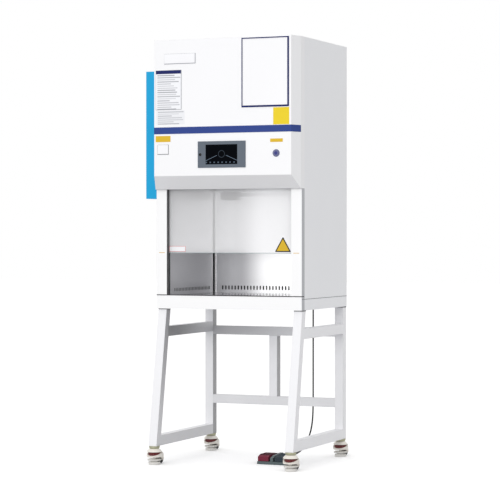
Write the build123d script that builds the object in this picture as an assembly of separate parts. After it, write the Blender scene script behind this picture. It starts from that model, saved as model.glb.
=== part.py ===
from build123d import *
import os
from math import cos, pi, radians, sin, tan

# Biosafety cabinet on a stand. Lengths are in millimetres.
# X runs across the cabinet, Y from the opening to the rear, Z up from the floor.

# Overall sizes.
body_width = 700.0
body_depth = 563.0
body_height = 1194.0
stand_height = 692.0
sheet = 1.5

# Base band and the apron under the opening.
base_height = 49.0
apron_height = 59.5
apron_return = 32.0
fold = 20.0
edge_trim_height = 3.5
edge_trim_depth = 11.0
edge_trim_overhang = 1.0

# Front frame and sash channels.
post_width = 50.0
channel_depth = 36.0
channel_width = 12.0
groove_depth = 8.0
header_drop = 45.0
header_height = 36.0
header_depth = 20.0

# Work chamber.
liner_sheet = 1.2
rear_duct = 43.0
service_height = 595.0
tray_sheet = 1.5
tray_clearance = 0.5
ledge_width = 15.0
ledge_sheet = 2.5
slot_pitch = 16.0
slot_width = 7.0
rear_slot_height = 20.0
rear_slot_rise = 12.5
side_slot_height = 16.0
side_slot_rise = 14.5
side_slot_start = 84.0
side_slot_margin = 46.0
intake_slot_length = 40.0
intake_slot_start = 46.0
slot_margin = 40.0
diffuser_slot_length = 100.0
diffuser_slot_pitch = 118.0

# Hood.
hood_overhang = 70.0
hood_inset = 22.0
chamfer_end = 10.0
lip_drop = 58.0
lip_gap = 1.0
hood_sheet = 2.0

# Blank panel on the hood.
panel_width = 223.5
panel_height = 303.5
panel_side_gap = 8.9
panel_top_gap = 4.5
panel_thickness = 3.0

# Control panel.
bezel_width = 228.6
bezel_height = 116.5
bezel_rise = 34.0
bezel_thickness = 4.0
bezel_box_depth = 30.0
bezel_box_inset = 12.0
screen_width = 152.0
screen_height = 87.0
screen_recess = 1.0
screen_thickness = 2.0
receiver_radius = 3.75
receiver_inset = 12.3

# Key switch.
key_inset = 92.0
key_rise = 94.0
key_ring_radius = 12.0
key_barrel_radius = 9.5
key_barrel_length = 24.0
key_rotor_radius = 7.5
key_ring_height = 4.0
key_slot_width = 1.6
key_slot_length = 9.0

# Cover strip on the left side.
side_cover_width = 52.0
side_cover_depth = 80.0
side_cover_height = 571.0
side_cover_top_gap = 131.0

# Filters and blower.
filter_height = 90.0
filter_wall = 15.0
filter_clearance = 2.0
pleat_count = 18
pleat_depth = 50.0
exhaust_width = 360.0
exhaust_depth = 300.0
guard_bar = 6.0
guard_pitch = 26.0
plenum_height = 70.0
blower_radius = 125.0
blower_width = 190.0
blower_outlet = 105.0
scroll_rise = 32.5
inlet_radius = 72.0
impeller_radius = 100.0
impeller_hub_radius = 18.0
impeller_clearance = 8.0
blade_count = 24
blade_length = 24.0
blade_thickness = 2.0
motor_radius = 48.0
motor_length = 70.0
shaft_radius = 6.0

# Lamps.
uv_holder_width = 79.0
uv_holder_height = 38.0
uv_holder_depth = 34.0
uv_holder_inset = 46.0
uv_holder_drop = 106.0
uv_tube_radius = 6.5
uv_tube_length = 380.0
uv_tube_depth = 17.0
lamp_end_gap = 40.0
lamp_height = 18.0
lamp_depth = 16.0

# Sash and its drive.
glass_thickness = 5.0
glass_overlap = 69.0
glass_play = 1.0
sash_opening = 186.0
hanger_end_gap = 20.0
hanger_height = 30.0
hanger_wall = 3.0
drum_radius = 15.0
drum_width = 14.0
drum_inset = 60.0
lift_shaft_radius = 6.0
lift_shaft_drop = 116.0
strap_width = 10.0
strap_thickness = 1.0
bracket_thickness = 6.0
bracket_depth = 34.0
lift_motor_radius = 20.0
lift_motor_length = 62.0

# Stand.
tube = 40.0
tube_wall = 2.0
leg_inset = 3.0
front_leg_setback = 15.0
front_leg_lean = 107.0
side_rail_height = 45.0
side_rail_drop = 80.0
rear_rail_height = 40.0
rear_upper_rail_drop = 99.0
rear_lower_rail_top = 268.0
end_plate = 4.0

# Levelling casters.
caster_height = 83.0
plate_radius = 24.0
plate_thickness = 3.0
race_height = 9.0
race_taper = 3.0
stem_radius = 6.0
stem_up = 16.0
stem_down = 20.0
turn_gap = 0.3
housing_radius = 34.0
housing_neck = 21.5
housing_wall = 4.5
cup_bottom = 33.0
cup_floor = 3.0
cup_round = 3.0
shoulder_height = 57.0
window_bottom = 38.5
window_reach = 16.0
dial_radius = 27.0
dial_thickness = 18.5
dial_gap = 1.0
dial_bevel = 1.5
dial_notches = 18
notch_depth = 1.6
pad_radius = 26.5
pad_height = 12.0
pad_lip = 1.5
pad_travel = 8.0
pad_neck_radius = 15.0
flange_radius = 31.5
flange_bottom = 18.0
flange_height = 6.5
flange_round = 2.5
pad_clearance = 1.5
wheel_radius = 22.0
wheel_width = 20.0
wheel_gap = 1.2
wheel_hub_radius = 8.0
wheel_rim_width = 5.0
wheel_recess = 2.5
tread_edge = 3.0
cheek = 4.0
fender = 4.0
axle_radius = 4.0
axle_boss = 9.0
bolt_radius = 6.0
bolt_height = 2.5
running_clearance = 0.05

# Foot switch.
switch_x = 87.0
switch_y = 116.0
switch_width = 140.0
switch_depth = 134.0
switch_plate = 13.0
switch_height = 42.0
switch_corner = 8.0
switch_bevel = 2.0
switch_rim = 4.0
switch_front_rim = 6.0
well_depth = 8.5
well_gap = 1.2
hump_width = 14.0
pedal_gap = 8.0
pedal_wall = 3.0
pedal_front_height = 33.0
pedal_slope = 33.0
pedal_drop = 5.0
pedal_rise = 0.8
pedal_pivot_height = 24.0
pedal_pivot_inset = 30.0
pedal_pin_radius = 3.0
pedal_boss_radius = 6.5
pedal_boss_width = 5.0
pedal_lug_width = 5.0
tread_rib = 1.2
tread_pitch = 9.0

# Cord from the cabinet's rear to the foot switch.
cord_diameter = 7.0
gland_width = 40.0
gland_depth = 24.0
gland_height = 48.0
gland_rise = 24.0
gland_nipple_radius = 8.0
gland_nipple_height = 10.0
cord_x = 180.0
cord_standoff = 12.0
relief_radius = 6.5
relief_length = 16.0

# Power inlet on the rear panel.
inlet_width = 48.0
inlet_height = 30.0
inlet_depth = 22.0
inlet_inset = 120.0
inlet_rise = 59.0
inlet_cover = 4.0
pin_size = 5.0
pin_spacing = 8.0
pin_step = 2.0
pin_setback = 6.0

# Small sizes.
panel_border = 7.0
panel_recess = 1.0
key_floor = 2.0
key_slot_depth = 6.0
pleat_rise = 12.0
arm_thickness = 4.0
arm_width = 16.0
rim_thickness = 2.0
blade_inset = 0.5
uv_edge = 4.0
uv_tube_rise = 4.0
socket_depth = 8.0
clip_setback = 12.0
clip_width = 8.0
clip_wall = 2.0
lamp_setback = 2.0
stem_gap = 0.5
gland_edge = 3.0

# Hand-chosen route of the cord.
cord_end = (213.0, 266.0, 37.0)
cord_points = [
    (180.0, 575.0, 716.0),
    (180.0, 575.0, 228.0),
    (188.0, 548.0, 165.0),
    (199.0, 500.0, 122.0),
    (208.0, 445.0, 90.0),
    (213.0, 390.0, 66.0),
    (216.0, 338.0, 46.0),
    (213.0, 300.0, 37.0),
    cord_end,
]

# Values worked out from the sizes above.
half_width = body_width / 2
body_top = stand_height + body_height
base_top = stand_height + base_height
apron_top = stand_height + apron_height
trim_top = apron_top + edge_trim_height
half_opening = half_width - post_width
chamber_bottom = apron_top
chamber_top = body_top - service_height
chamber_depth = body_depth - rear_duct
chamber_middle = (channel_depth + chamber_depth) / 2
header_bottom = chamber_top - header_drop
header_top = header_bottom + header_height
lip_top = header_top + lip_gap
lip_bottom = lip_top - lip_drop
bezel_bottom = lip_top + bezel_rise
bezel_top = bezel_bottom + bezel_height
bezel_middle = (bezel_bottom + bezel_top) / 2
receiver_x = receiver_inset - bezel_width / 2
key_x = half_width - key_inset
key_z = lip_top + key_rise
supply_bottom = chamber_top + sheet
plenum_top = supply_bottom + filter_height + plenum_height
blower_centre_z = plenum_top + scroll_rise + blower_radius
impeller_length = blower_width - 2 * sheet - 2 * impeller_clearance
exhaust_centre_y = (apron_return + body_depth) / 2
uv_holder_x = uv_holder_inset - half_opening
uv_holder_bottom = chamber_top - uv_holder_drop
glass_front = channel_depth - groove_depth - glass_play
glass_half = half_opening + groove_depth - 2 * glass_play
glass_bottom = trim_top + sash_opening
glass_top = header_bottom + sash_opening + glass_overlap
drum_x = half_opening - drum_inset
lift_shaft_z = body_top - lift_shaft_drop
leg_centre_x = half_width - leg_inset - tube / 2
front_caster_y = front_leg_setback + tube / 2 - front_leg_lean
rear_caster_y = body_depth - tube / 2
side_rail_top = stand_height - side_rail_drop
rear_upper_rail_top = stand_height - rear_upper_rail_drop
race_bottom = caster_height - plate_thickness - race_height
housing_top = race_bottom - turn_gap
dial_bottom = cup_bottom + cup_floor + dial_gap
dial_top = dial_bottom + dial_thickness
cavity_radius = dial_radius + dial_gap
screw_top = caster_height - plate_thickness - stem_down - pad_travel - dial_gap
wheel_offset = flange_radius + pad_clearance + wheel_radius
pivot_y = switch_y + switch_depth - pedal_pivot_inset
gland_bottom = stand_height + gland_rise
cord_y = body_depth + cord_standoff
inlet_x = half_width - inlet_inset
inlet_z = base_top + inlet_rise


def block(x, y, z):
    """Box between two limits on each axis."""
    size = (x[1] - x[0], y[1] - y[0], z[1] - z[0])
    return Pos(x[0], y[0], z[0]) * Box(*size, align=(Align.MIN, Align.MIN, Align.MIN))


def span(centre, width):
    """Limits of a width about its centre."""
    return (centre - width / 2, centre + width / 2)


def side_profile(points, x):
    """Solid from an outline in the YZ plane, between two X limits."""
    face = Plane.YZ * Polygon(*points)
    return Pos(x[0], 0, 0) * extrude(face, x[1] - x[0], dir=(1, 0, 0))


def front_profile(points, y):
    """Solid from an outline in the XZ plane, between two Y limits."""
    face = Plane.XZ * Polygon(*points)
    return Pos(0, y[0], 0) * extrude(face, y[1] - y[0], dir=(0, 1, 0))


def mirrored(side, near, far):
    """Limits on X of a stretch given by its distances from the middle plane."""
    return sorted((side * near, side * far))


def rod_x(radius, x, y, z):
    """Round bar along X."""
    return Pos((x[0] + x[1]) / 2, y, z) * Rot(0, 90, 0) * Cylinder(radius, x[1] - x[0])


def rod_y(radius, x, y, z):
    """Round bar along Y."""
    return Pos(x, (y[0] + y[1]) / 2, z) * Rot(90, 0, 0) * Cylinder(radius, y[1] - y[0])


def rod_z(radius, x, y, z):
    """Round bar along Z."""
    return Pos(x, y, (z[0] + z[1]) / 2) * Cylinder(radius, z[1] - z[0])


def places(start, end, pitch):
    """Centres of a row that starts at the first limit and stays inside the second."""
    count = int((end - start) / pitch + 1e-6) + 1
    return [start + pitch * i for i in range(count)]


def centred_places(width, pitch):
    """Centres of a row about zero that stays inside a width."""
    count = int(width / pitch)
    return [pitch * (i - (count - 1) / 2) for i in range(count)]


def side_panel(side):
    """Outer side sheet with a fold at the front and one at the rear."""
    z = (base_top, body_top - sheet)
    folded = mirrored(side, half_width - fold, half_width)
    face = block(mirrored(side, half_width - sheet, half_width), (apron_return, body_depth), z)
    front = block(folded, (apron_return, apron_return + sheet), z)
    rear = block(folded, (body_depth - sheet, body_depth), z)
    return face + front + rear


def rear_panel():
    """Rear sheet inside the side panels' folds, open at the power inlet."""
    half = half_width - sheet
    y = (body_depth - 2 * sheet, body_depth - sheet)
    plate = block((-half, half), y, (base_top, body_top - sheet))
    window = block(
        span(inlet_x, inlet_width - 2 * inlet_cover),
        (y[0] - 1, y[1] + 1),
        span(inlet_z, inlet_height - 2 * inlet_cover),
    )
    return plate - window


def top_panel():
    """Top sheet with the barred exhaust opening."""
    z = (body_top - sheet, body_top)
    plate = block((-half_width, half_width), (apron_return, body_depth), z)
    opening_width = exhaust_width - 2 * filter_wall
    opening_depth = exhaust_depth - 2 * filter_wall
    y = span(exhaust_centre_y, opening_depth)
    for x in centred_places(opening_width, guard_pitch):
        gap = span(x, guard_pitch - guard_bar)
        plate -= block(gap, y, (z[0] - 1, z[1] + 1))
    return plate


def base_frame():
    """Lower band of the cabinet, a pan with a floor."""
    outer = block((-half_width, half_width), (apron_return, body_depth), (stand_height, base_top))
    inner = block(
        (-half_width + sheet, half_width - sheet),
        (apron_return + sheet, body_depth - sheet),
        (stand_height + sheet, base_top + 1),
    )
    return outer - inner


def front_apron():
    """Folded front panel under the opening, with a ledge back to the tray."""
    outer = block((-half_width, half_width), (0, apron_return), (stand_height, apron_top))
    inner = block(
        (-half_width + sheet, half_width - sheet),
        (sheet, apron_return + 1),
        (stand_height + sheet, apron_top - sheet),
    )
    ledge = block(
        (-half_opening, half_opening),
        (apron_return, channel_depth),
        (apron_top - sheet, apron_top),
    )
    return outer - inner + ledge


def edge_trim():
    """Dark strip along the apron's top edge."""
    y = (-edge_trim_overhang, edge_trim_depth)
    return block((-half_width, half_width), y, (apron_top, trim_top))


def front_frame():
    """Welded frame: a folded post on each side and the header over the opening."""
    header = block((-half_opening, half_opening), (0, header_depth), (header_bottom, header_top))
    frame = header - block(
        (-half_opening - 1, half_opening + 1),
        (sheet, header_depth + 1),
        (header_bottom + sheet, header_top - sheet),
    )
    behind = (sheet, apron_return + 1)
    for side in (-1, 1):
        post = block(mirrored(side, half_opening, half_width), (0, apron_return), (trim_top, header_top))
        inner = mirrored(side, half_opening + channel_width, half_width - sheet)
        post -= block(inner, behind, (trim_top - 1, header_top + 1))
        seat = mirrored(side, half_opening - 1, half_opening + channel_width)
        frame += post - block(seat, behind, (trim_top - 1, header_bottom))
    for side in (-1, 1):
        seat = mirrored(side, half_opening - 1, half_opening + channel_width)
        frame -= block(seat, (header_depth, apron_return + 1), (header_bottom, header_top + 1))
        cover = mirrored(side, half_width - hood_sheet - turn_gap, half_width + 1)
        frame -= block(cover, (-1, apron_return + 1), (lip_bottom, header_top + 1))
    return frame


def sash_channel(side):
    """Grooved channel behind a post that guides the glass."""
    x = mirrored(side, half_opening, half_opening + channel_width)
    low = block(x, (sheet, channel_depth), (apron_top, header_bottom))
    low -= block(x, (sheet, edge_trim_depth), (apron_top, trim_top))
    high = block(x, (header_depth, channel_depth), (header_bottom, lift_shaft_z - 2 * drum_radius))
    groove_x = mirrored(side, half_opening, half_opening + groove_depth)
    groove_y = (glass_front - glass_play, glass_front + glass_thickness + glass_play)
    groove = block(groove_x, groove_y, (apron_top - 1, body_top))
    return low + high - groove


def inner_side_wall(side):
    """Stainless side wall of the chamber with its slots and the tray's ledge."""
    wall = block(
        mirrored(side, half_opening, half_opening + liner_sheet),
        (channel_depth, chamber_depth + liner_sheet),
        (stand_height + sheet, chamber_top),
    )
    middle = chamber_bottom + side_slot_rise + side_slot_height / 2
    for y in places(side_slot_start, chamber_depth - side_slot_margin, slot_pitch):
        shape = extrude(SlotOverall(side_slot_height, slot_width), 4 * liner_sheet, both=True)
        wall -= Pos(side * half_opening, y, middle) * Rot(0, 90, 0) * shape
    top = chamber_bottom - tray_sheet
    ledge = block(
        mirrored(side, half_opening - ledge_width, half_opening),
        (channel_depth + tray_clearance, chamber_depth - tray_clearance),
        (top - ledge_sheet, top),
    )
    return wall + ledge


def inner_rear_wall():
    """Stainless rear wall of the chamber with its row of slots."""
    wall = block(
        (-half_opening, half_opening),
        (chamber_depth, chamber_depth + liner_sheet),
        (stand_height + sheet, chamber_top),
    )
    middle = chamber_bottom + rear_slot_rise + rear_slot_height / 2
    for x in centred_places(2 * (half_opening - slot_margin) + slot_pitch, slot_pitch):
        shape = extrude(SlotOverall(rear_slot_height, slot_width), 4 * liner_sheet, both=True)
        wall -= Pos(x, chamber_depth, middle) * Rot(90, 0, 0) * Rot(0, 0, 90) * shape
    return wall


def work_tray():
    """Lift-out stainless tray with the front intake grille."""
    half = half_opening - tray_clearance
    tray = block(
        (-half, half),
        (channel_depth + tray_clearance, chamber_depth - tray_clearance),
        (chamber_bottom - tray_sheet, chamber_bottom),
    )
    y = intake_slot_start + intake_slot_length / 2
    for x in centred_places(2 * (half_opening - slot_margin) + slot_pitch, slot_pitch):
        shape = extrude(SlotOverall(intake_slot_length, slot_width), 4 * tray_sheet, both=True)
        tray -= Pos(x, y, chamber_bottom) * Rot(0, 0, 90) * shape
    return tray


def ceiling_diffuser():
    """Slotted sheet under the supply filter."""
    half = half_opening + liner_sheet
    y = (channel_depth, chamber_depth + liner_sheet)
    plate = block((-half, half), y, (chamber_top, chamber_top + sheet))
    through = (chamber_top - 1, chamber_top + sheet + 1)
    middle = (y[0] + y[1]) / 2
    for x in centred_places(2 * (half_opening - slot_margin), 2 * slot_pitch):
        for dy in centred_places(y[1] - y[0], diffuser_slot_pitch):
            plate -= block(span(x, slot_width), span(middle + dy, diffuser_slot_length), through)
    return plate


def hood_block(inset):
    """Hood volume, or its inside when the outlines are moved in by the sheet."""
    extra = 3 * inset
    drop = lip_drop + extra
    back = apron_return + extra
    front = -hood_overhang
    bottom = lip_top - drop
    profile = Polygon(
        (front, body_top), (front, lip_top), (front + drop, bottom), (back, bottom), (back, body_top)
    )
    corner = half_width - hood_inset
    plan = Polygon(
        (-half_width, back),
        (-half_width, -chamfer_end),
        (-corner, front),
        (corner, front),
        (half_width, -chamfer_end),
        (half_width, back),
    )
    if inset:
        profile = offset(profile, -inset, kind=Kind.INTERSECTION)
        plan = offset(plan, -inset, kind=Kind.INTERSECTION)
    across = extrude(Plane.YZ * profile, half_width + 1, both=True)
    return across & extrude(plan, body_top + 1, dir=(0, 0, 1))


def hood_shell():
    """Hood: front, two chamfers, side returns, top and slanted lip in one folded sheet."""
    shell = hood_block(0) - hood_block(hood_sheet)
    through = (-hood_overhang - 1, -hood_overhang + hood_sheet + 1)
    window = block(
        span(0, bezel_width - 2 * bezel_box_inset + 2 * turn_gap),
        through,
        (bezel_bottom + bezel_box_inset - turn_gap, bezel_top - bezel_box_inset + turn_gap),
    )
    hole = rod_y(key_barrel_radius + turn_gap, key_x, through, key_z)
    return shell - window - hole


def blank_panel():
    """Blank panel on the hood, with a thin raised border."""
    y = (-hood_overhang - panel_thickness, -hood_overhang)
    right = half_width - hood_inset - panel_side_gap
    x = (right - panel_width, right)
    z = (body_top - panel_top_gap - panel_height, body_top - panel_top_gap)
    plate = block(x, y, z)
    inner = block(
        (x[0] + panel_border, x[1] - panel_border),
        (y[0] - 1, y[0] + panel_recess),
        (z[0] + panel_border, z[1] - panel_border),
    )
    return plate - inner


def control_bezel():
    """Control panel: bezel with its box behind the hood sheet and the screen's recess."""
    x = span(0, bezel_width)
    z = (bezel_bottom, bezel_top)
    front = -hood_overhang - bezel_thickness
    plate = block(x, (front, -hood_overhang), z)
    plate = chamfer(plate.faces().sort_by(Axis.Y)[0].edges(), bezel_thickness / 3)
    box = block(
        span(0, bezel_width - 2 * bezel_box_inset),
        (-hood_overhang, -hood_overhang + bezel_box_depth),
        (z[0] + bezel_box_inset, z[1] - bezel_box_inset),
    )
    recess = block(
        span(0, screen_width),
        (front - 1, front + screen_recess + screen_thickness),
        span(bezel_middle, screen_height),
    )
    eye = rod_y(receiver_radius, receiver_x, (front - 1, front + 1), bezel_middle)
    return plate + box - recess - eye


def control_screen():
    """Screen glass in the bezel's recess."""
    front = -hood_overhang - bezel_thickness + screen_recess
    y = (front, front + screen_thickness)
    return block(span(0, screen_width), y, span(bezel_middle, screen_height))


def key_collar():
    """Key switch: ring in front of the hood sheet and the barrel behind it."""
    front = -hood_overhang - key_ring_height
    back = -hood_overhang + key_barrel_length
    ring = rod_y(key_ring_radius, key_x, (front, -hood_overhang), key_z)
    ring = chamfer(ring.faces().sort_by(Axis.Y)[0].edges(), key_ring_height / 4)
    barrel = rod_y(key_barrel_radius, key_x, (-hood_overhang, back), key_z)
    well = rod_y(key_rotor_radius + running_clearance, key_x, (front - 1, back - key_floor), key_z)
    return ring + barrel - well


def key_rotor():
    """Core that the key turns, with its slot."""
    front = -hood_overhang - key_ring_height
    back = -hood_overhang + key_barrel_length - key_floor - turn_gap
    core = rod_y(key_rotor_radius, key_x, (front, back), key_z)
    slot = block(
        span(key_x, key_slot_width), (front - 1, front + key_slot_depth), span(key_z, key_slot_length)
    )
    return core - slot


def side_cover():
    """Cover strip that stands out from the left side, a shallow box open to the wall."""
    top = body_top - side_cover_top_gap
    z = (top - side_cover_height, top)
    outer = block((-half_width - side_cover_width, -half_width), (0, side_cover_depth), z)
    inner = block(
        (-half_width - side_cover_width + sheet, -half_width + 1),
        (sheet, side_cover_depth - sheet),
        (z[0] + sheet, z[1] - sheet),
    )
    return outer - inner


def filter_unit(x, y, z):
    """Filter: a frame round a pleated pack."""
    frame = block(x, y, z) - block(
        (x[0] + filter_wall, x[1] - filter_wall),
        (y[0] + filter_wall, y[1] - filter_wall),
        (z[0] - 1, z[1] + 1),
    )
    inner = (x[0] + filter_wall, x[1] - filter_wall)
    pitch = (inner[1] - inner[0]) / pleat_count
    middle = (z[0] + z[1]) / 2
    low, high = middle - pleat_depth / 2, middle + pleat_depth / 2
    below, above = [(inner[0], low - pleat_rise)], [(inner[0], high - pleat_rise)]
    for i in range(pleat_count):
        below += [(inner[0] + pitch * (i + 0.5), low), (inner[0] + pitch * (i + 1), low - pleat_rise)]
        above += [(inner[0] + pitch * (i + 0.5), high), (inner[0] + pitch * (i + 1), high - pleat_rise)]
    pack = front_profile(below + above[::-1], (y[0] + filter_wall, y[1] - filter_wall))
    return frame + pack


def supply_filter():
    """Supply filter on the diffuser."""
    half = half_opening - filter_clearance
    y = (channel_depth + filter_clearance, chamber_depth - filter_clearance)
    return filter_unit((-half, half), y, (supply_bottom, supply_bottom + filter_height))


def exhaust_filter():
    """Exhaust filter under the top opening."""
    top = body_top - sheet
    return filter_unit(
        span(0, exhaust_width), span(exhaust_centre_y, exhaust_depth), (top - filter_height, top)
    )


def blower_housing():
    """Blower scroll on the plenum that feeds the supply filter."""
    half = half_opening - filter_clearance
    y = (channel_depth + filter_clearance, chamber_depth - filter_clearance)
    z = (supply_bottom + filter_height, plenum_top)
    plenum = block((-half, half), y, z) - block(
        (-half + sheet, half - sheet), (y[0] + sheet, y[1] - sheet), (z[0] - 1, z[1] - sheet)
    )
    scroll = scroll_block(0) - scroll_block(sheet)
    rear = chamber_middle + blower_radius
    outlet = block(
        span(0, blower_width - 2 * sheet),
        (rear - blower_outlet + sheet, rear - sheet),
        (plenum_top - 2 * sheet, plenum_top + 2 * sheet),
    )
    inlets = rod_x(
        inlet_radius, (-blower_width, blower_width), chamber_middle, blower_centre_z
    )
    return plenum + scroll - outlet - inlets


def scroll_block(inset):
    """Round scroll with a straight outlet down its rear side, or its inside."""
    x = (-blower_width / 2 + inset, blower_width / 2 - inset)
    rear = chamber_middle + blower_radius
    drum = rod_x(blower_radius - inset, x, chamber_middle, blower_centre_z)
    outlet = block(
        x,
        (rear - blower_outlet + inset, rear - inset),
        (plenum_top - (3 * inset), blower_centre_z),
    )
    return drum + outlet


def blower_motor():
    """Motor on three arms outside the scroll's inlet, with its shaft."""
    start = blower_width / 2
    body = rod_x(
        motor_radius, (start + arm_thickness, start + motor_length), chamber_middle, blower_centre_z
    )
    hub = rod_x(motor_radius, (start, start + arm_thickness), chamber_middle, blower_centre_z)
    arm = block(
        (start, start + arm_thickness), span(0, arm_width), (0, inlet_radius + arm_width)
    )
    for i in range(3):
        hub += Pos(0, chamber_middle, blower_centre_z) * Rot(120 * i, 0, 0) * arm
    shaft = rod_x(shaft_radius, (-impeller_length / 2, start + 1), chamber_middle, blower_centre_z)
    return body + hub + shaft


def impeller():
    """Fan wheel: hub, middle plate, two rims and a ring of blades."""
    x = span(0, impeller_length)
    centre = (chamber_middle, blower_centre_z)
    wheel = rod_x(impeller_hub_radius, span(0, impeller_length / 2), *centre)
    wheel += rod_x(impeller_radius, span(0, rim_thickness), *centre)
    rim = rod_x(impeller_radius, (x[0], x[0] + rim_thickness), *centre)
    rim -= rod_x(impeller_radius - blade_length, (x[0] - 1, x[0] + rim_thickness + 1), *centre)
    wheel += rim + Pos(impeller_length - rim_thickness, 0, 0) * rim
    blade = block(
        x,
        (impeller_radius - blade_length + blade_inset, impeller_radius - blade_inset),
        span(0, blade_thickness),
    )
    place = Pos(0, *centre)
    blades = [place * Rot(360 * i / blade_count, 0, 0) * blade for i in range(blade_count)]
    wheel = wheel + blades
    return wheel - rod_x(shaft_radius + running_clearance, (x[0] - 1, x[1] + 1), *centre)


def uv_lamp_holder():
    """Lamp holder on the chamber's rear wall, with the socket for the tube."""
    x = (uv_holder_x, uv_holder_x + uv_holder_width)
    y = (chamber_depth - uv_holder_depth, chamber_depth)
    z = (uv_holder_bottom, uv_holder_bottom + uv_holder_height)
    body = block(x, y, z)
    body = fillet(body.faces().sort_by(Axis.Y)[0].edges(), uv_edge)
    clip_x = x[1] + uv_tube_length - clip_setback
    axis_y, axis_z = uv_tube_axis()
    socket = rod_x(uv_tube_radius, (x[1] - socket_depth, x[1] + 1), axis_y, axis_z)
    saddle = block(
        (clip_x, clip_x + clip_width),
        (axis_y, chamber_depth),
        span(axis_z, 2 * uv_tube_radius + 2 * clip_wall),
    ) - rod_x(uv_tube_radius, (clip_x - 1, clip_x + clip_width + 1), axis_y, axis_z)
    return [body - socket, saddle]


def uv_tube_axis():
    """Place of the lamp tube's axis in the YZ plane."""
    return chamber_depth - uv_tube_depth, uv_holder_bottom + uv_holder_height / 2 + uv_tube_rise


def uv_tube():
    """Ultraviolet lamp tube with its end caps."""
    start = uv_holder_x + uv_holder_width - socket_depth
    end = start + socket_depth + uv_tube_length
    axis_y, axis_z = uv_tube_axis()
    return rod_x(uv_tube_radius, (start, end), axis_y, axis_z)


def led_lamp():
    """Lamp bar under the header, in front of the glass."""
    top = header_bottom
    y = (lamp_setback, lamp_setback + lamp_depth)
    outline = [
        (y[0], top),
        (y[0], top - lamp_height / 2),
        (y[0] + lamp_depth / 4, top - lamp_height),
        (y[1] - lamp_depth / 4, top - lamp_height),
        (y[1], top - lamp_height / 2),
        (y[1], top),
    ]
    return side_profile(outline, mirrored(1, lamp_end_gap - half_opening, half_opening - lamp_end_gap))


def sash_glass():
    """Sliding glass."""
    y = (glass_front, glass_front + glass_thickness)
    return block((-glass_half, glass_half), y, (glass_bottom, glass_top))


def sash_hanger():
    """Clamp rail on the glass's top edge that the straps pull."""
    length = 2 * (half_opening - hanger_end_gap)
    y = (glass_front - hanger_wall, glass_front + glass_thickness + hanger_wall)
    rail = block(span(0, length), y, span(glass_top, hanger_height))
    slot = block(
        span(0, length + 2),
        (glass_front, glass_front + glass_thickness),
        (glass_top - hanger_height, glass_top),
    )
    return rail - slot


def lift_axis_y():
    """Place of the lift shaft, so that the straps hang over the glass."""
    return glass_front + glass_thickness / 2 + drum_radius


def lift_shaft():
    """Shaft with two strap drums."""
    bracket_x = lift_bracket_x()
    y, z = lift_axis_y(), lift_shaft_z
    shaft = rod_x(lift_shaft_radius, (-bracket_x - bracket_thickness, bracket_x + socket_depth), y, z)
    for side in (-1, 1):
        middle = side * drum_x
        shaft += rod_x(drum_radius, span(middle, drum_width), y, z)
        for edge in (-1, 1):
            rim = span(middle + edge * (drum_width + rim_thickness) / 2, rim_thickness)
            shaft += rod_x(drum_radius + strap_thickness + rim_thickness, rim, y, z)
    return shaft


def lift_bracket_x():
    """Inner face of the lift shaft's brackets."""
    return drum_x + drum_width


def lift_motor():
    """Drive motor with its bracket, and the bracket at the shaft's other end."""
    y, z = lift_axis_y(), lift_shaft_z
    inner = lift_bracket_x()
    solids = []
    for side in (-1, 1):
        x = mirrored(side, inner, inner + bracket_thickness)
        plate = block(x, (apron_return, y + bracket_depth / 2), (z - bracket_depth / 2, body_top - sheet))
        bore = rod_x(lift_shaft_radius + running_clearance, (x[0] - 1, x[1] + 1), y, z)
        solids.append(plate - bore)
    start = inner + bracket_thickness
    motor = rod_x(lift_motor_radius, (start, start + lift_motor_length), y, z)
    motor -= rod_x(lift_shaft_radius + running_clearance, (start - 1, inner + socket_depth + 1), y, z)
    return [solids[0], solids[1] + motor]


def lift_straps():
    """Two straps from the drums down to the hanger."""
    y = span(glass_front + glass_thickness / 2, strap_thickness)
    y = (y[0] - strap_thickness / 2, y[1] - strap_thickness / 2)
    z = (glass_top + hanger_height / 2, lift_shaft_z)
    return [block(span(side * drum_x, strap_width), y, z) for side in (-1, 1)]


def leg_section(outline, x, wall):
    """Square tube from its outline in the YZ plane, hollow inside."""
    solid = side_profile(outline, x)
    hollow = offset(Polygon(*outline), -wall, kind=Kind.INTERSECTION)
    hollow = extrude(Plane.YZ * hollow, x[1] - x[0] - 2 * wall, dir=(1, 0, 0))
    return solid, Pos(x[0] + wall, 0, 0) * hollow


def stand_side(side):
    """Welded side frame: leaning front leg, upright rear leg and two rails."""
    x = mirrored(side, leg_centre_x - tube / 2, leg_centre_x + tube / 2)
    top, bottom = stand_height, caster_height
    front_top = front_leg_setback
    front_bottom = front_leg_setback - front_leg_lean
    rear = (body_depth - tube, body_depth)
    leaning = [
        (front_bottom, bottom),
        (front_bottom + tube, bottom),
        (front_top + tube, top),
        (front_top, top),
    ]
    upright = [(rear[0], bottom), (rear[1], bottom), (rear[1], top), (rear[0], top)]
    outlines = [leaning, upright]
    for low, high in (
        (side_rail_top - side_rail_height, side_rail_top),
        (bottom, bottom + side_rail_height),
    ):
        outlines.append(
            [(leg_back_y(low), low), (rear[0], low), (rear[0], high), (leg_back_y(high), high)]
        )
    frame = None
    for outline in outlines:
        solid, hollow = leg_section(outline, x, tube_wall)
        piece = solid - hollow
        frame = piece if frame is None else frame + piece
    for y in (front_caster_y, rear_caster_y):
        plate = block(x, span(y, tube - 2 * tube_wall), (bottom, bottom + end_plate))
        frame += plate
    for y in (front_caster_y, rear_caster_y):
        frame -= rod_z(
            stem_radius + stem_gap, side * leg_centre_x, y, (bottom - 1, bottom + end_plate + 1)
        )
    return frame


def leg_back_y(z):
    """Rear face of the leaning front leg at a height."""
    share = (z - caster_height) / (stand_height - caster_height)
    return front_leg_setback - front_leg_lean * (1 - share) + tube


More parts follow.
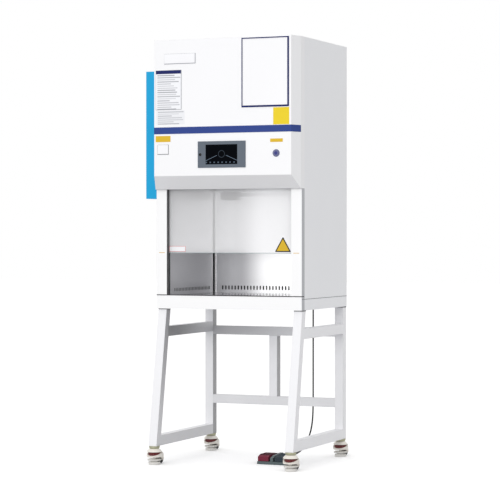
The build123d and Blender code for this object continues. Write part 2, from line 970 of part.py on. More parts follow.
def stand_rear():
    """Rear frame between the side frames: two rails and the middle post."""
    half = leg_centre_x - tube / 2
    y = (body_depth - tube, body_depth)
    inner_y = (y[0] + tube_wall, y[1] - tube_wall)
    frame = None
    for top in (rear_upper_rail_top, rear_lower_rail_top):
        z = (top - rear_rail_height, top)
        rail = block((-half, half), y, z)
        rail -= block((-half - 1, half + 1), inner_y, (z[0] + tube_wall, z[1] - tube_wall))
        frame = rail if frame is None else frame + rail
    z = (rear_lower_rail_top, rear_upper_rail_top - rear_rail_height)
    post = block(span(0, tube), y, z)
    post -= block(span(0, tube - 2 * tube_wall), inner_y, (z[0] - 1, z[1] + 1))
    return frame + post


def caster_stems():
    """Top plates of the four casters, each with its bearing race and stem."""
    bottom = race_bottom + race_height
    outline = [
        (0, bottom - stem_down),
        (stem_radius, bottom - stem_down),
        (stem_radius, race_bottom),
        (plate_radius - race_taper, race_bottom),
        (plate_radius, bottom - plate_thickness),
        (plate_radius, caster_height),
        (stem_radius, caster_height),
        (stem_radius, caster_height + stem_up),
        (0, caster_height + stem_up),
    ]
    stem = ring_of(outline)
    return [Pos(x, y, 0) * stem for x, y in caster_places()]


def caster_places():
    """Swivel axes of the casters: front left, front right, rear left, rear right."""
    return [
        (side * leg_centre_x, y) for y in (front_caster_y, rear_caster_y) for side in (-1, 1)
    ]


def ring_of(points):
    """Solid of revolution about Z from an outline in radius and height."""
    return revolve(Plane.XZ * Polygon(*points), Axis.Z)


def caster_shell():
    """Domed shell round the thumbwheel, cut away at the front so that a finger reaches it."""
    bore = stem_radius + running_clearance
    wall = Line((housing_radius, cup_bottom + cup_round), (housing_radius, shoulder_height))
    dome = ThreePointArc(
        (housing_radius, shoulder_height),
        (housing_radius - (housing_radius - housing_neck) / 3, (shoulder_height + housing_top) / 2),
        (housing_neck, housing_top),
    )
    corner = JernArc((housing_radius - cup_round, cup_bottom), (1, 0), cup_round, 90)
    rest = Polyline(
        (housing_neck, housing_top),
        (bore, housing_top),
        (bore, cup_bottom),
        (housing_radius - cup_round, cup_bottom),
    )
    shell = revolve(Plane.XZ * make_face([wall, dome, rest, corner]), Axis.Z)
    cavity = rod_z(cavity_radius, 0, 0, (dial_bottom - dial_gap, dial_top + dial_gap))
    window = side_profile(
        [
            (-housing_radius - 1, window_bottom),
            (window_reach, dial_top + dial_gap),
            (-housing_radius - 1, dial_top + dial_gap),
        ],
        span(0, 2 * housing_radius + 2),
    )
    return shell - cavity - window


def caster_fork():
    """Fender and two cheeks that carry the wheel behind the shell, with the axle and its bolts."""
    width = wheel_width + 2 * wheel_gap + 2 * cheek
    pocket_radius = wheel_radius + 2 * wheel_gap
    crown = wheel_radius + pocket_radius
    outline = [
        (cavity_radius, cup_bottom),
        (wheel_offset - axle_boss, wheel_radius),
        (wheel_offset + axle_boss, wheel_radius),
        (wheel_offset + axle_boss, crown - fender),
        (wheel_offset, crown + fender),
        (housing_radius - housing_wall, shoulder_height),
        (cavity_radius, shoulder_height),
    ]
    fork = side_profile(outline, span(0, width))
    fork += rod_x(axle_boss, span(0, width), wheel_offset, wheel_radius)
    fork -= rod_x(pocket_radius, span(0, width - 2 * cheek), wheel_offset, wheel_radius)
    fork -= rod_z(flange_radius + pad_clearance, 0, 0, (0, cup_bottom))
    axle = rod_x(axle_radius, span(0, width), wheel_offset, wheel_radius)
    bolts = rod_x(bolt_radius, span(0, width + 2 * bolt_height), wheel_offset, wheel_radius)
    inside = rod_x(bolt_radius + 1, span(0, width), wheel_offset, wheel_radius)
    return fork + axle + (bolts - inside)


def caster_housing():
    """Caster housing: shell and fork in one casting."""
    return caster_shell() + caster_fork()


def caster_dial():
    """Notched thumbwheel that turns on the foot pad's screw."""
    outline = []
    for i in range(dial_notches):
        for share, radius in dial_steps():
            angle = 2 * pi * (i + share) / dial_notches
            outline.append((radius * cos(angle), radius * sin(angle)))
    disc = Pos(0, 0, dial_bottom) * extrude(Polygon(*outline), dial_thickness, dir=(0, 0, 1))
    blank = ring_of(
        [
            (stem_radius + running_clearance, dial_bottom),
            (dial_radius - dial_bevel, dial_bottom),
            (dial_radius, dial_bottom + dial_bevel),
            (dial_radius, dial_top - dial_bevel),
            (dial_radius - dial_bevel, dial_top),
            (stem_radius + running_clearance, dial_top),
        ]
    )
    return disc & blank


def dial_steps():
    """Radius along one pitch of the thumbwheel's rim: a grip and the notch after it."""
    floor = dial_radius - notch_depth
    return [(0.0, dial_radius), (0.55, dial_radius), (0.7, floor), (0.85, floor)]


def caster_pad():
    """Foot pad: rubber-shod foot, upper flange and the screw."""
    top = flange_bottom + flange_height
    outline = [
        (0, 0),
        (pad_radius - pad_lip, 0),
        (pad_radius, pad_lip),
        (pad_radius, pad_height - pad_lip),
        (pad_radius - pad_lip, pad_height),
        (pad_neck_radius, pad_height),
        (pad_neck_radius, flange_bottom),
        (flange_radius - flange_round, flange_bottom),
        (flange_radius, flange_bottom + flange_round),
        (flange_radius, top - flange_round),
        (flange_radius - flange_round, top),
        (stem_radius, top),
        (stem_radius, screw_top),
        (0, screw_top),
    ]
    return ring_of(outline)


def caster_wheel():
    """Wheel with a crowned tread, hollowed sides and a bore on the axle."""
    half = wheel_width / 2
    inner = axle_radius + running_clearance
    rim = wheel_radius - wheel_rim_width
    side = [
        (inner, half),
        (wheel_hub_radius, half),
        (wheel_hub_radius + wheel_recess, half - wheel_recess),
        (rim - wheel_recess, half - wheel_recess),
        (rim, half),
        (wheel_radius - tread_edge, half),
        (wheel_radius, half - tread_edge),
    ]
    outline = side + [(radius, -height) for radius, height in side[::-1]]
    return Pos(0, wheel_offset, wheel_radius) * Rot(0, 90, 0) * ring_of(outline)


def switch_limits():
    """Limits of the foot switch's base in plan."""
    return (switch_x, switch_x + switch_width), (switch_y, switch_y + switch_depth)


def pedal_limits(side):
    """Limits of a pedal on X."""
    middle = switch_x + switch_width / 2
    near, far = hump_width / 2 + pedal_gap, switch_width / 2 - switch_rim
    return tuple(middle + x for x in mirrored(side, near, far))


def pedal_base():
    """Foot switch base: plate with two wells, hump, pivot pin on its lugs and the cord's relief."""
    x, y = switch_limits()
    middle = (x[0] + x[1]) / 2
    plate = block(x, y, (0, switch_plate))
    plate = fillet(plate.edges().filter_by(Axis.Z), switch_corner)
    plate = chamfer(plate.faces().sort_by(Axis.Z)[-1].edges(), switch_bevel)
    pin_z = pedal_pivot_height
    base = plate
    for side in (-1, 1):
        pedal_x = pedal_limits(side)
        well = block(
            (pedal_x[0] - well_gap, pedal_x[1] + well_gap),
            (y[0] + switch_front_rim - well_gap, pivot_y - pedal_boss_radius),
            (switch_plate - well_depth, switch_plate + 1),
        )
        base -= well
    hump = side_profile(
        [
            (y[0] + switch_front_rim, switch_plate - 1),
            (y[0] + switch_front_rim, pedal_front_height - pedal_drop),
            (y[0] + pedal_slope, switch_height - pedal_drop),
            (pivot_y, switch_height),
            (y[1] - switch_front_rim, switch_height),
            (y[1] - switch_front_rim, switch_plate - 1),
        ],
        span(middle, hump_width),
    )
    base += hump
    for side in (-1, 1):
        inner, outer = sorted(pedal_limits(side), key=lambda end: abs(end - middle))
        for end, turn in ((inner, side), (outer, -side)):
            face = end + turn * (pedal_wall + pedal_boss_width + 1)
            base += block(
                sorted((face, face + turn * pedal_lug_width)),
                span(pivot_y, 2 * pedal_boss_radius),
                (switch_plate - 1, pin_z + pedal_boss_radius),
            )
        base += rod_x(pedal_pin_radius, sorted((middle, outer - side * pedal_wall)), pivot_y, pin_z)
    relief = rod_y(relief_radius, cord_end[0], (y[1] - 1, y[1] + relief_length), cord_end[2])
    mount = block(
        (cord_end[0] - 1.5 * relief_radius, x[1] - switch_rim),
        (y[1] - switch_front_rim, y[1]),
        (switch_plate - 1, cord_end[2] + relief_radius),
    )
    return base + mount + relief


def pedal_outline(inset, bottom):
    """Side outline of a pedal, or of its inside."""
    front = switch_y + switch_front_rim + inset
    rear = switch_y + switch_depth - 2 * switch_front_rim - inset
    return [
        (front, bottom),
        (front, pedal_front_height - inset),
        (switch_y + pedal_slope, switch_height - inset),
        (pivot_y, switch_height - inset),
        (rear, switch_height - pedal_drop - inset),
        (rear, bottom),
    ]


def pedal(side):
    """Foot pedal: a hollow cap with bosses on the pivot pin and ribs across its tread."""
    x = pedal_limits(side)
    bottom = switch_plate + pedal_rise
    cap = side_profile(pedal_outline(0, bottom), x)
    inner_x = (x[0] + pedal_wall, x[1] - pedal_wall)
    cap -= side_profile(pedal_outline(pedal_wall, bottom - 1), inner_x)
    boss = rod_x(pedal_boss_radius, inner_x, pivot_y, pedal_pivot_height)
    between = (inner_x[0] + pedal_boss_width, inner_x[1] - pedal_boss_width)
    cap += boss - rod_x(pedal_boss_radius + 1, between, pivot_y, pedal_pivot_height)
    bore = rod_x(
        pedal_pin_radius + running_clearance, (x[0] - 1, x[1] + 1), pivot_y, pedal_pivot_height
    )
    ribs = None
    start = switch_y + pedal_slope + tread_rib
    for y in places(start, pivot_y - tread_pitch, tread_pitch):
        rib = block(
            inner_x, span(y, 2 * tread_rib), (switch_height - pedal_wall / 2, switch_height + tread_rib)
        )
        ribs = rib if ribs is None else ribs + rib
    return cap + ribs - bore


def cord_gland():
    """Cable outlet box on the rear panel with a nipple that points down."""
    z = (gland_bottom + gland_nipple_height, gland_bottom + gland_nipple_height + gland_height)
    box = block(span(cord_x, gland_width), (body_depth, body_depth + gland_depth), z)
    box = chamfer(box.faces().sort_by(Axis.Y)[-1].edges(), gland_edge)
    nipple = rod_z(gland_nipple_radius, cord_x, cord_y, (gland_bottom, z[0] + 1))
    return box + nipple


def power_inlet():
    """Appliance inlet in the rear panel's window, with three flat pins."""
    x, z = span(inlet_x, inlet_width), span(inlet_z, inlet_height)
    flange = block(x, (body_depth - sheet, body_depth + inlet_cover), z)
    inner_x = (x[0] + inlet_cover, x[1] - inlet_cover)
    inner_z = (z[0] + inlet_cover, z[1] - inlet_cover)
    well = block(inner_x, (body_depth - inlet_depth, body_depth), inner_z)
    open_x = (inner_x[0] + inlet_cover, inner_x[1] - inlet_cover)
    open_z = (inner_z[0] + inlet_cover, inner_z[1] - inlet_cover)
    mouth = block(
        open_x, (body_depth - inlet_depth + inlet_cover, body_depth + inlet_cover + 1), open_z
    )
    body = flange + well - mouth
    for dx, dz in ((-pin_spacing, -pin_step), (0, pin_step), (pin_spacing, -pin_step)):
        body += block(
            span(inlet_x + dx, pin_size / 2),
            (body_depth - inlet_depth + 1, body_depth - pin_setback),
            span(inlet_z + dz, pin_size),
        )
    return body


def cord_path():
    """Route of the cord with an arc at each corner as large as its two runs allow."""
    points = [Vector(*p) for p in cord_points]
    radii = []
    for before, here, after in zip(points, points[1:], points[2:]):
        shorter = min((here - before).length, (after - here).length)
        turn = radians((here - before).get_angle(after - here))
        radii.append(0.45 * shorter / tan(turn / 2))
    return FilletPolyline(*points, radius=radii), radii


def cord():
    """Cord as a tube along its route."""
    path, radii = cord_path()
    print("cord radii", [round(r, 1) for r in radii])
    start = Plane(origin=cord_points[0], z_dir=(0, 0, -1))
    tube_solid = sweep(start * Circle(cord_diameter / 2), path=path)
    expected = pi * cord_diameter ** 2 / 4 * path.length
    print("cord length", round(path.length, 1), "volume", round(tube_solid.volume / expected, 5))
    return tube_solid


pieces = {
    "side_panel_left": side_panel(-1),
    "side_panel_right": side_panel(1),
    "rear_panel": rear_panel(),
    "top_panel": top_panel(),
    "base_frame": base_frame(),
    "front_apron": front_apron(),
    "edge_trim": edge_trim(),
    "front_frame": front_frame(),
    "sash_channels": [sash_channel(-1), sash_channel(1)],
    "inner_wall_left": inner_side_wall(-1),
    "inner_wall_right": inner_side_wall(1),
    "inner_wall_rear": inner_rear_wall(),
    "work_tray": work_tray(),
    "ceiling_diffuser": ceiling_diffuser(),
    "hood_shell": hood_shell(),
    "blank_panel": blank_panel(),
    "control_bezel": control_bezel(),
    "control_screen": control_screen(),
    "key_collar": key_collar(),
    "key_rotor": key_rotor(),
    "side_cover": side_cover(),
    "supply_filter": supply_filter(),
    "exhaust_filter": exhaust_filter(),
    "blower_housing": blower_housing(),
    "blower_motor": blower_motor(),
    "impeller": impeller(),
    "uv_lamp_holder": uv_lamp_holder(),
    "uv_tube": uv_tube(),
    "led_lamp": led_lamp(),
    "sash_glass": sash_glass(),
    "sash_hanger": sash_hanger(),
    "lift_shaft": lift_shaft(),
    "lift_motor": lift_motor(),
    "lift_straps": lift_straps(),
    "stand_side_left": stand_side(-1),
    "stand_side_right": stand_side(1),
    "stand_rear": stand_rear(),
    "caster_stems": caster_stems(),
    "pedal_base": pedal_base(),
    "pedal_left": pedal(-1),
    "pedal_right": pedal(1),
    "cord_gland": cord_gland(),
    "power_inlet": power_inlet(),
    "cord": cord(),
}
corners = ("front_left", "front_right", "rear_left", "rear_right")
housing, dial, pad, wheel = caster_housing(), caster_dial(), caster_pad(), caster_wheel()
for corner, (x, y) in zip(corners, caster_places()):
    pieces["caster_housing_" + corner] = Pos(x, y, 0) * housing
    pieces["caster_dial_" + corner] = Pos(x, y, 0) * dial
    pieces["caster_pad_" + corner] = Pos(x, y, 0) * pad
    pieces["caster_wheel_" + corner] = Pos(x, y, 0) * wheel


def as_shape(piece):
    """One shape from a solid or from several solids."""
    parts = piece if isinstance(piece, list) else [piece]
    return Compound([solid for part in parts for solid in part.solids()])


# The origin is the middle of the whole object's base, measured without the cord.
shapes = {name: as_shape(piece) for name, piece in pieces.items()}
boxes = [shape.bounding_box() for name, shape in shapes.items() if name != "cord"]
low = [min(tuple(box.min)[axis] for box in boxes) for axis in range(3)]
high = [max(tuple(box.max)[axis] for box in boxes) for axis in range(3)]
origin = Pos(-(low[0] + high[0]) / 2, -(low[1] + high[1]) / 2, -low[2])

os.makedirs("parts", exist_ok=True)
for name, shape in shapes.items():
    export_step(origin * shape, "parts/" + name + ".step")
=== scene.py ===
# %% [markdown]
# A laboratory safety cabinet with a sliding glass stands on an open steel stand with a foot switch
# beside it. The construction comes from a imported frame, so this lesson gives each visible surface
# its finish and adds the thin things that a maker sticks, screws or paints on at the end.

# %% Load the fixed frame
import math
import bmesh
import bpy
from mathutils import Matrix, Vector


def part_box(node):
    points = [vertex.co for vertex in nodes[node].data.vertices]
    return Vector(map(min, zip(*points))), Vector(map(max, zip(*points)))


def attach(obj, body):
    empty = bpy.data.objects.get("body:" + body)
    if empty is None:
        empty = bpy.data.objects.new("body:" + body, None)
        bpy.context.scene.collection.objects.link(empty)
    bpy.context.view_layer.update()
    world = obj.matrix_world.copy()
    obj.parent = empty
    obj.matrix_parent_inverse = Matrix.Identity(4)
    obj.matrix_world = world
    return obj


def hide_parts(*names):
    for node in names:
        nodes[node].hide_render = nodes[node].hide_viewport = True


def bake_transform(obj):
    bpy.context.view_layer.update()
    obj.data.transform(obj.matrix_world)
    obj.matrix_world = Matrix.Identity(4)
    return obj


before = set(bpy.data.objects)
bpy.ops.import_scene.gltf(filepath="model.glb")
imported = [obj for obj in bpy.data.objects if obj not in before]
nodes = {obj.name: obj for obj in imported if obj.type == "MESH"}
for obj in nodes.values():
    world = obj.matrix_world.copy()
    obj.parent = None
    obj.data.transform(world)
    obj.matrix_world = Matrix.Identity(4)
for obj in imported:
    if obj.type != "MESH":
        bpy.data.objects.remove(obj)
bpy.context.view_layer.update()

# %% [markdown]
# Everything is measured from the cabinet itself: its middle plane, the front plane of its posts
# and the floor. Small helpers turn such millimetres into the metres of the frame, so that each
# later number can be read off the real cabinet with a tape.

# %% Helpers for places
MM = 0.001
X, Y, Z = 0, 1, 2
base_low, base_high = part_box("base_frame")
hood_low, hood_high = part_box("hood_shell")
middle_x = (base_low[X] + base_high[X]) / 2
front_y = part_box("front_apron")[0][Y]


def at(x, y, z):
    """Point of the frame in metres, from millimetres right, behind the front plane and above the floor."""
    return Vector((middle_x + x * MM, front_y + y * MM, z * MM))


def span(axis, low, high):
    """Axis and two places on it in the frame's metres, from millimetres."""
    return axis, at(low, low, low)[axis], at(high, high, high)[axis]


def local(point):
    """Millimetres from the cabinet's own planes, for a point of the frame in metres."""
    return ((point[X] - middle_x) / MM, (point[Y] - front_y) / MM, point[Z] / MM)


def node_box(name):
    """Lowest and highest corner of a node in the cabinet's millimetres."""
    low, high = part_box(name)
    return local(low), local(high)


half_width = (base_high[X] - base_low[X]) / 2 / MM
hood_front = (hood_low[Y] - front_y) / MM
cabinet_top = hood_high[Z] / MM
print("half width", round(half_width, 1), "hood front", round(hood_front, 1), "top", round(cabinet_top, 1))

# %% [markdown]
# The camera stands to the right of the cabinet at chest height, far away with a long lens, which
# keeps the uprights almost parallel. Place, turn and lens were worked out from the straight edges
# of the cabinet, so that they fall where the photograph has them.

# %% Camera
view_turn, view_tilt = 23.05, -0.494
focal_pixels, frame_pixels = 1961.0, 500.0
sensor = 36.0

camera_data = bpy.data.cameras.new("studio_camera")
camera_data.sensor_width = sensor
camera_data.lens = focal_pixels / frame_pixels * sensor
camera_data.clip_end = 60.0
camera = bpy.data.objects.new("studio_camera", camera_data)
camera.location = at(3481.0, -7934.0, 1030.0)
camera.rotation_euler = (math.radians(90.0 + view_tilt), 0.0, math.radians(view_turn))
bpy.context.collection.objects.link(camera)
bpy.context.scene.camera = camera
bpy.context.scene.view_settings.view_transform = "Standard"
print("lens", round(camera_data.lens, 1), "mm")

# %% [markdown]
# The foot switch hangs on a thin black cable. It comes straight down behind the cabinet and swings
# forward into the switch in one stiff curve. A NURBS curve through a few listed points gives
# that line without kinks, and a bevel gives it the jacket's thickness.

# %% Cord
cord_diameter = 7.0
cord_points = [
    (180.0, 575.0, 716.0),
    (180.0, 575.0, 330.0),
    (180.0, 575.0, 228.0),
    (188.0, 548.0, 165.0),
    (199.0, 500.0, 122.0),
    (208.0, 445.0, 90.0),
    (213.0, 390.0, 66.0),
    (216.0, 338.0, 46.0),
    (213.0, 300.0, 37.0),
    (213.0, 266.0, 37.0),
]


def nurbs_curve(name, points, diameter):
    """Smooth open curve through the frame, with a round section."""
    data = bpy.data.curves.new(name, "CURVE")
    data.dimensions = "3D"
    data.bevel_depth = diameter / 2 * MM
    data.bevel_resolution = 4
    data.resolution_u = 12
    data.use_fill_caps = True
    spline = data.splines.new("NURBS")
    spline.points.add(len(points) - 1)
    for knot, point in zip(spline.points, points):
        knot.co = (*at(*point), 1.0)
    spline.order_u = 3
    spline.use_endpoint_u = True
    piece = bpy.data.objects.new(name, data)
    bpy.context.collection.objects.link(piece)
    return piece


def line_length(points):
    """Length of the smooth curve that the points steer, in metres."""
    probe = nurbs_curve("probe", points, 0.0)
    mesh = bpy.data.meshes.new_from_object(probe.evaluated_get(bpy.context.evaluated_depsgraph_get()))
    places = [v.co.copy() for v in mesh.vertices]
    bpy.data.objects.remove(probe)
    return sum((b - a).length for a, b in zip(places, places[1:]))


switch_cord = nurbs_curve("switch_cord", cord_points, cord_diameter)
cord_length = line_length(cord_points)
print("cord length", round(cord_length, 3), "m")

# %% [markdown]
# Materials come next. Each is a small node tree, and all share the same parts: a noise for slow
# colour drift, a finer one for roughness, and a bump. The helper below keeps those links in one
# place, while a value that is the same all over stays on the shader's own socket.

# %% Material helpers
SOCKETS = {
    "metal": "Metallic",
    "rough": "Roughness",
    "ior": "IOR",
    "coat": "Coat Weight",
    "coat_rough": "Coat Roughness",
    "glow_strength": "Emission Strength",
    "specular": "Specular IOR Level",
    "anisotropic": "Anisotropic",
}
MIX_INPUTS = (0, 6, 7)  # factor and the two colours of a Mix node that mixes colours
MIX_RESULT = 2


class Shade:
    """A node material being built, with short calls for the nodes that it uses."""

    def __init__(self, name):
        self.material = bpy.data.materials.new(name)
        self.material.use_nodes = True
        self.tree = self.material.node_tree
        self.bsdf = self.tree.nodes["Principled BSDF"]
        self.place = self.tree.nodes.new("ShaderNodeTexCoord").outputs["Object"]

    def give(self, socket, value):
        """A link from another socket, or a plain value."""
        if isinstance(value, bpy.types.NodeSocket):
            self.tree.links.new(value, socket)
        else:
            socket.default_value = value

    def node(self, kind, inputs=None, **settings):
        """A shader node with its settings and inputs."""
        made = self.tree.nodes.new("ShaderNode" + kind)
        for key, value in settings.items():
            setattr(made, key, value)
        for key, value in (inputs or {}).items():
            self.give(made.inputs[key], value)
        return made

    def set(self, **values):
        """Plain values on the main shader's own sockets."""
        for key, value in values.items():
            self.bsdf.inputs[SOCKETS[key]].default_value = value

    def link(self, output, name):
        """An output linked to a socket of the main shader."""
        self.tree.links.new(output, self.bsdf.inputs[name])

    def calc(self, operation, first, second=0.0):
        """Result of a sum on one or two values or sockets."""
        return self.node("Math", {0: first, 1: second}, operation=operation).outputs[0]

    def axes(self):
        """The place on the piece along X, Y and Z."""
        return self.node("SeparateXYZ", {"Vector": self.place}).outputs

    def noise(self, scale, detail=3.0, stretch=(1.0, 1.0, 1.0)):
        """Noise on the object's own coordinates, stretched along chosen axes."""
        mapped = self.node("Mapping", {"Vector": self.place, "Scale": stretch})
        inputs = {"Vector": mapped.outputs[0], "Scale": scale, "Detail": detail}
        return self.node("TexNoise", inputs).outputs["Fac"]

    def between(self, factor, low, high):
        """Factor turned into a value between two limits."""
        return self.node("MapRange", {"Value": factor, "To Min": low, "To Max": high}).outputs[0]

    def mix(self, factor, first, second):
        """Colour between two colours or sockets."""
        made = self.node("Mix", data_type="RGBA")
        for socket, value in zip(MIX_INPUTS, (factor, first, second)):
            self.give(made.inputs[socket], value)
        return made.outputs[MIX_RESULT]

    def inside(self, limits):
        """1 where the place lies inside all limits, each an axis, a lowest and a highest value."""
        places = self.axes()
        both = 1.0
        for axis, low, high in limits:
            above = self.calc("GREATER_THAN", places[axis], low)
            below = self.calc("LESS_THAN", places[axis], high)
            both = self.calc("MULTIPLY", self.calc("MULTIPLY", above, below), both)
        return both

    def ramp(self, axis, start, end):
        """0 to 1 along one axis between two places of the frame."""
        inputs = {"Value": self.axes()[axis], "From Min": start, "From Max": end}
        return self.node("MapRange", inputs, interpolation_type="SMOOTHSTEP").outputs[0]

    def zoned(self, paint, zones):
        """Paint with other colours in zones: limits, colour and, where it fades in, a ramp."""
        for limits, color, *fade in zones:
            factor = self.inside(limits)
            if fade:
                factor = self.calc("MULTIPLY", factor, self.ramp(*fade[0]))
            paint = self.mix(factor, paint, color)
        return paint

    def bump(self, height, distance, strength, rounding=0.0):
        """Bump from a height, over edges rounded by a small radius."""
        inputs = {"Height": height, "Distance": distance, "Strength": strength}
        if rounding:
            inputs["Normal"] = self.node("Bevel", {"Radius": rounding}, samples=4).outputs[0]
        self.link(self.node("Bump", inputs).outputs[0], "Normal")


print("plain sockets", len(SOCKETS))

# %% [markdown]
# Colours are written as a screen shows them, from 0 to 255, because that is how a colour is read
# off a sample. The shader wants linear light, so one helper turns the first into the second, and
# another dims a colour for the drift of a paint or the grain of a metal.

# %% Colour helpers


def rgb(red, green, blue):
    """Linear colour from the 0 to 255 values that a screen shows."""
    def linear(value):
        share = value / 255
        return share / 12.92 if share <= 0.04045 else ((share + 0.055) / 1.055) ** 2.4
    return (linear(red), linear(green), linear(blue), 1.0)


def dimmed(color, share):
    """The same colour with its light cut to a share."""
    return tuple(value * share for value in color[:3]) + (1.0,)


print("middle grey in linear light", round(rgb(128, 128, 128)[0], 3))

# %% [markdown]
# Powder coat covers most of the cabinet. Up close it has the soft ripple of an orange's skin, and
# its white drifts very slightly over a panel. The ripple is a fine noise in the bump, and rounded
# edges catch the light where the real sheet is folded.

# %% Powder coat
FACES_DOWN = -0.4  # a normal's Z below this belongs to an underside


def powder_coat(name, color, rough=0.38, rounding=0.0012, specular=0.4, shaded=(), underside=None):
    """Painted sheet metal with a fine ripple, rounded folds, and painted shade in zones and on undersides where
    asked.
    """
    shade = Shade(name)
    shade.set(specular=specular, coat=0.1, coat_rough=0.25)
    cloud = shade.noise(scale=3.0, detail=2.0)
    paint = shade.zoned(shade.mix(cloud, color, dimmed(color, 0.97)), shaded)
    if underside:
        way = shade.node("SeparateXYZ", {"Vector": shade.node("NewGeometry").outputs["True Normal"]})
        paint = shade.mix(shade.calc("LESS_THAN", way.outputs[Z], FACES_DOWN), paint, underside)
    shade.link(paint, "Base Color")
    shade.link(shade.between(shade.noise(scale=40.0), rough - 0.05, rough + 0.07), "Roughness")
    shade.bump(shade.noise(scale=650.0, detail=2.0), distance=0.0002, strength=0.35, rounding=rounding)
    return shade.material


EDGE = 0.4  # millimetres by which a zone reaches past the face that it colours
FAR = 9000.0  # millimetres, past everything on the cabinet
panel_white = rgb(244, 245, 247)
shadow_grey = rgb(180, 182, 186)
duct_shade = rgb(28, 28, 30)
duct_sides = span(X, 3 * EDGE - half_width, half_width - 3 * EDGE)
duct_depth = span(Y, -FAR, node_box("side_panel_right")[1][Y] - EDGE)
rear_inside = span(Y, -FAR, node_box("rear_panel")[0][Y] + EDGE)
right_outside = span(X, half_width - EDGE, FAR)

# Painted shade: faces that look down, such as the hood's lip, are painted a little darker.
white_coat = powder_coat("white_coat", rgb(248, 248, 249), underside=rgb(235, 235, 236))
# Painted shade: the right-hand return of the front frame and apron is painted grey.
post_coat = powder_coat("post_coat", rgb(252, 252, 252), shaded=(([right_outside], shadow_grey),))
side_coat = powder_coat("side_coat", panel_white)
# Painted shade: the inner faces of the side and rear sheets, in the duct behind the slots, are painted near-black.
panel_coat = powder_coat("panel_coat", panel_white, shaded=(([duct_sides, duct_depth], duct_shade),))
rear_coat = powder_coat("rear_coat", panel_white, shaded=(([rear_inside], duct_shade),))
cyan_coat = powder_coat("cyan_coat", rgb(28, 164, 216), rough=0.5, specular=0.15)
lamp_coat = powder_coat("lamp_coat", rgb(240, 242, 245), rough=0.3)
print("powder coats", white_coat.name, post_coat.name, panel_coat.name, rear_coat.name)

# %% [markdown]
# The stand is open, so its tubes are seen from inside and outside at once, and the cabinet keeps
# the light off the inner ones. That shade is painted: the inner faces of the left frame, the rear
# rails and the post between them have a darker paint, zone by zone and fading along some of them,
# so that one tube stays apart from the next.

# %% Coats of the stand
stand_white = rgb(244, 244, 246)
leg_width = 40.0
tube_rounding = 0.003
stand_high = node_box("stand_side_left")[1]
inner_face = span(X, stand_high[X] - EDGE, FAR)
side_rail = [inner_face, span(Z, 560.0, 615.0), span(Y, 30.0, stand_high[Y] - leg_width)]
rear_leg = [inner_face, span(Y, stand_high[Y] - leg_width, FAR)]
rear_upper_rail = span(Z, 550.0, 600.0)
rear_lower_rail = span(Z, 0.0, 269.0)
rear_post = [span(X, 20.0 - EDGE, FAR), span(Z, 269.0, 549.0)]

stand_coat = powder_coat("stand_coat", stand_white, rounding=tube_rounding)
# Painted shade on the inner faces, the side rail and the rear leg of the left frame, some of it fading in along a
# ramp.
left_stand_shaded_coat = powder_coat(
    "left_stand_shaded_coat",
    stand_white,
    rounding=tube_rounding,
    shaded=(
        ([inner_face], rgb(218, 218, 220)),
        ([inner_face], rgb(166, 166, 169), span(Z, 140.0, 620.0)),
        (side_rail, rgb(205, 205, 207)),
        (side_rail, rgb(134, 134, 136), span(Y, 480.0, 60.0)),
        (rear_leg, rgb(158, 158, 160)),
    ),
)
# Painted shade on the rear rails and on the post between them, fading along the upper rail.
rear_stand_shaded_coat = powder_coat(
    "rear_stand_shaded_coat",
    stand_white,
    rounding=tube_rounding,
    shaded=(
        ([rear_upper_rail], rgb(186, 186, 188), span(X, 340.0, -320.0)),
        ([rear_lower_rail], rgb(232, 232, 234)),
        (rear_post, rgb(166, 166, 168)),
    ),
)
print("stand coats", stand_coat.name, left_stand_shaded_coat.name, rear_stand_shaded_coat.name)

# %% [markdown]
# The chamber is stainless steel with a brushed grain. A noise that is squeezed along one axis
# makes the fine scratches, and it drives both the roughness and a very shallow bump. The walls
# are brushed along their length, so each wall names the axis of its grain. Light is painted into
# their colour: they are painted lighter near the lamp and towards the right, a painted reflection
# of the bright side of a room, and each wall is its own lighter or darker copy of the steel.

# %% Brushed steel


def brushed(name, color, along, rough=0.3, shaded=(), metal=1.0):
    """Brushed metal with its grain along one axis."""
    shade = Shade(name)
    shade.set(metal=metal, anisotropic=0.4)
    stretch = [90.0, 90.0, 90.0]
    stretch[along] = 1.2
    grain = shade.noise(scale=14.0, detail=6.0, stretch=stretch)
    cloud = shade.noise(scale=2.5, detail=2.0)
    grained = shade.mix(shade.between(grain, 0.1, 0.9), color, dimmed(color, 0.86))
    shade.link(shade.zoned(grained, shaded), "Base Color")
    scratched = shade.between(grain, rough - 0.08, rough + 0.1)
    shade.link(shade.calc("ADD", scratched, shade.between(cloud, 0.0, 0.06)), "Roughness")
    shade.bump(grain, distance=0.0001, strength=0.25)
    return shade.material


# Painted light: the rear and left walls are lighter above the lamp ramp, and the rear wall also towards the right.
everywhere = [span(Z, 0.0, FAR)]
lamp_lit = span(Z, 934.0, 968.0)
right_lit = span(X, -170.0, -30.0)
rear_wall_zones = (
    (everywhere, rgb(224, 224, 226), lamp_lit),
    (everywhere, rgb(252, 252, 253), right_lit),
)
wall_steel = brushed("wall_steel", rgb(184, 184, 187), Z, shaded=rear_wall_zones)
side_steel = brushed("side_steel", rgb(202, 202, 205), Y, shaded=((everywhere, rgb(230, 230, 232), lamp_lit),))
# Painted light: the right wall is a lighter, partly matt copy of the same steel.
right_lit_steel = brushed("right_lit_steel", rgb(232, 232, 234), Y, metal=0.55)
tray_steel = brushed("tray_steel", rgb(205, 205, 207), X, rough=0.13)
zinc_steel = brushed("zinc_steel", rgb(170, 169, 146), X, rough=0.42)
bright_steel = brushed("bright_steel", rgb(215, 215, 215), Z, rough=0.15)
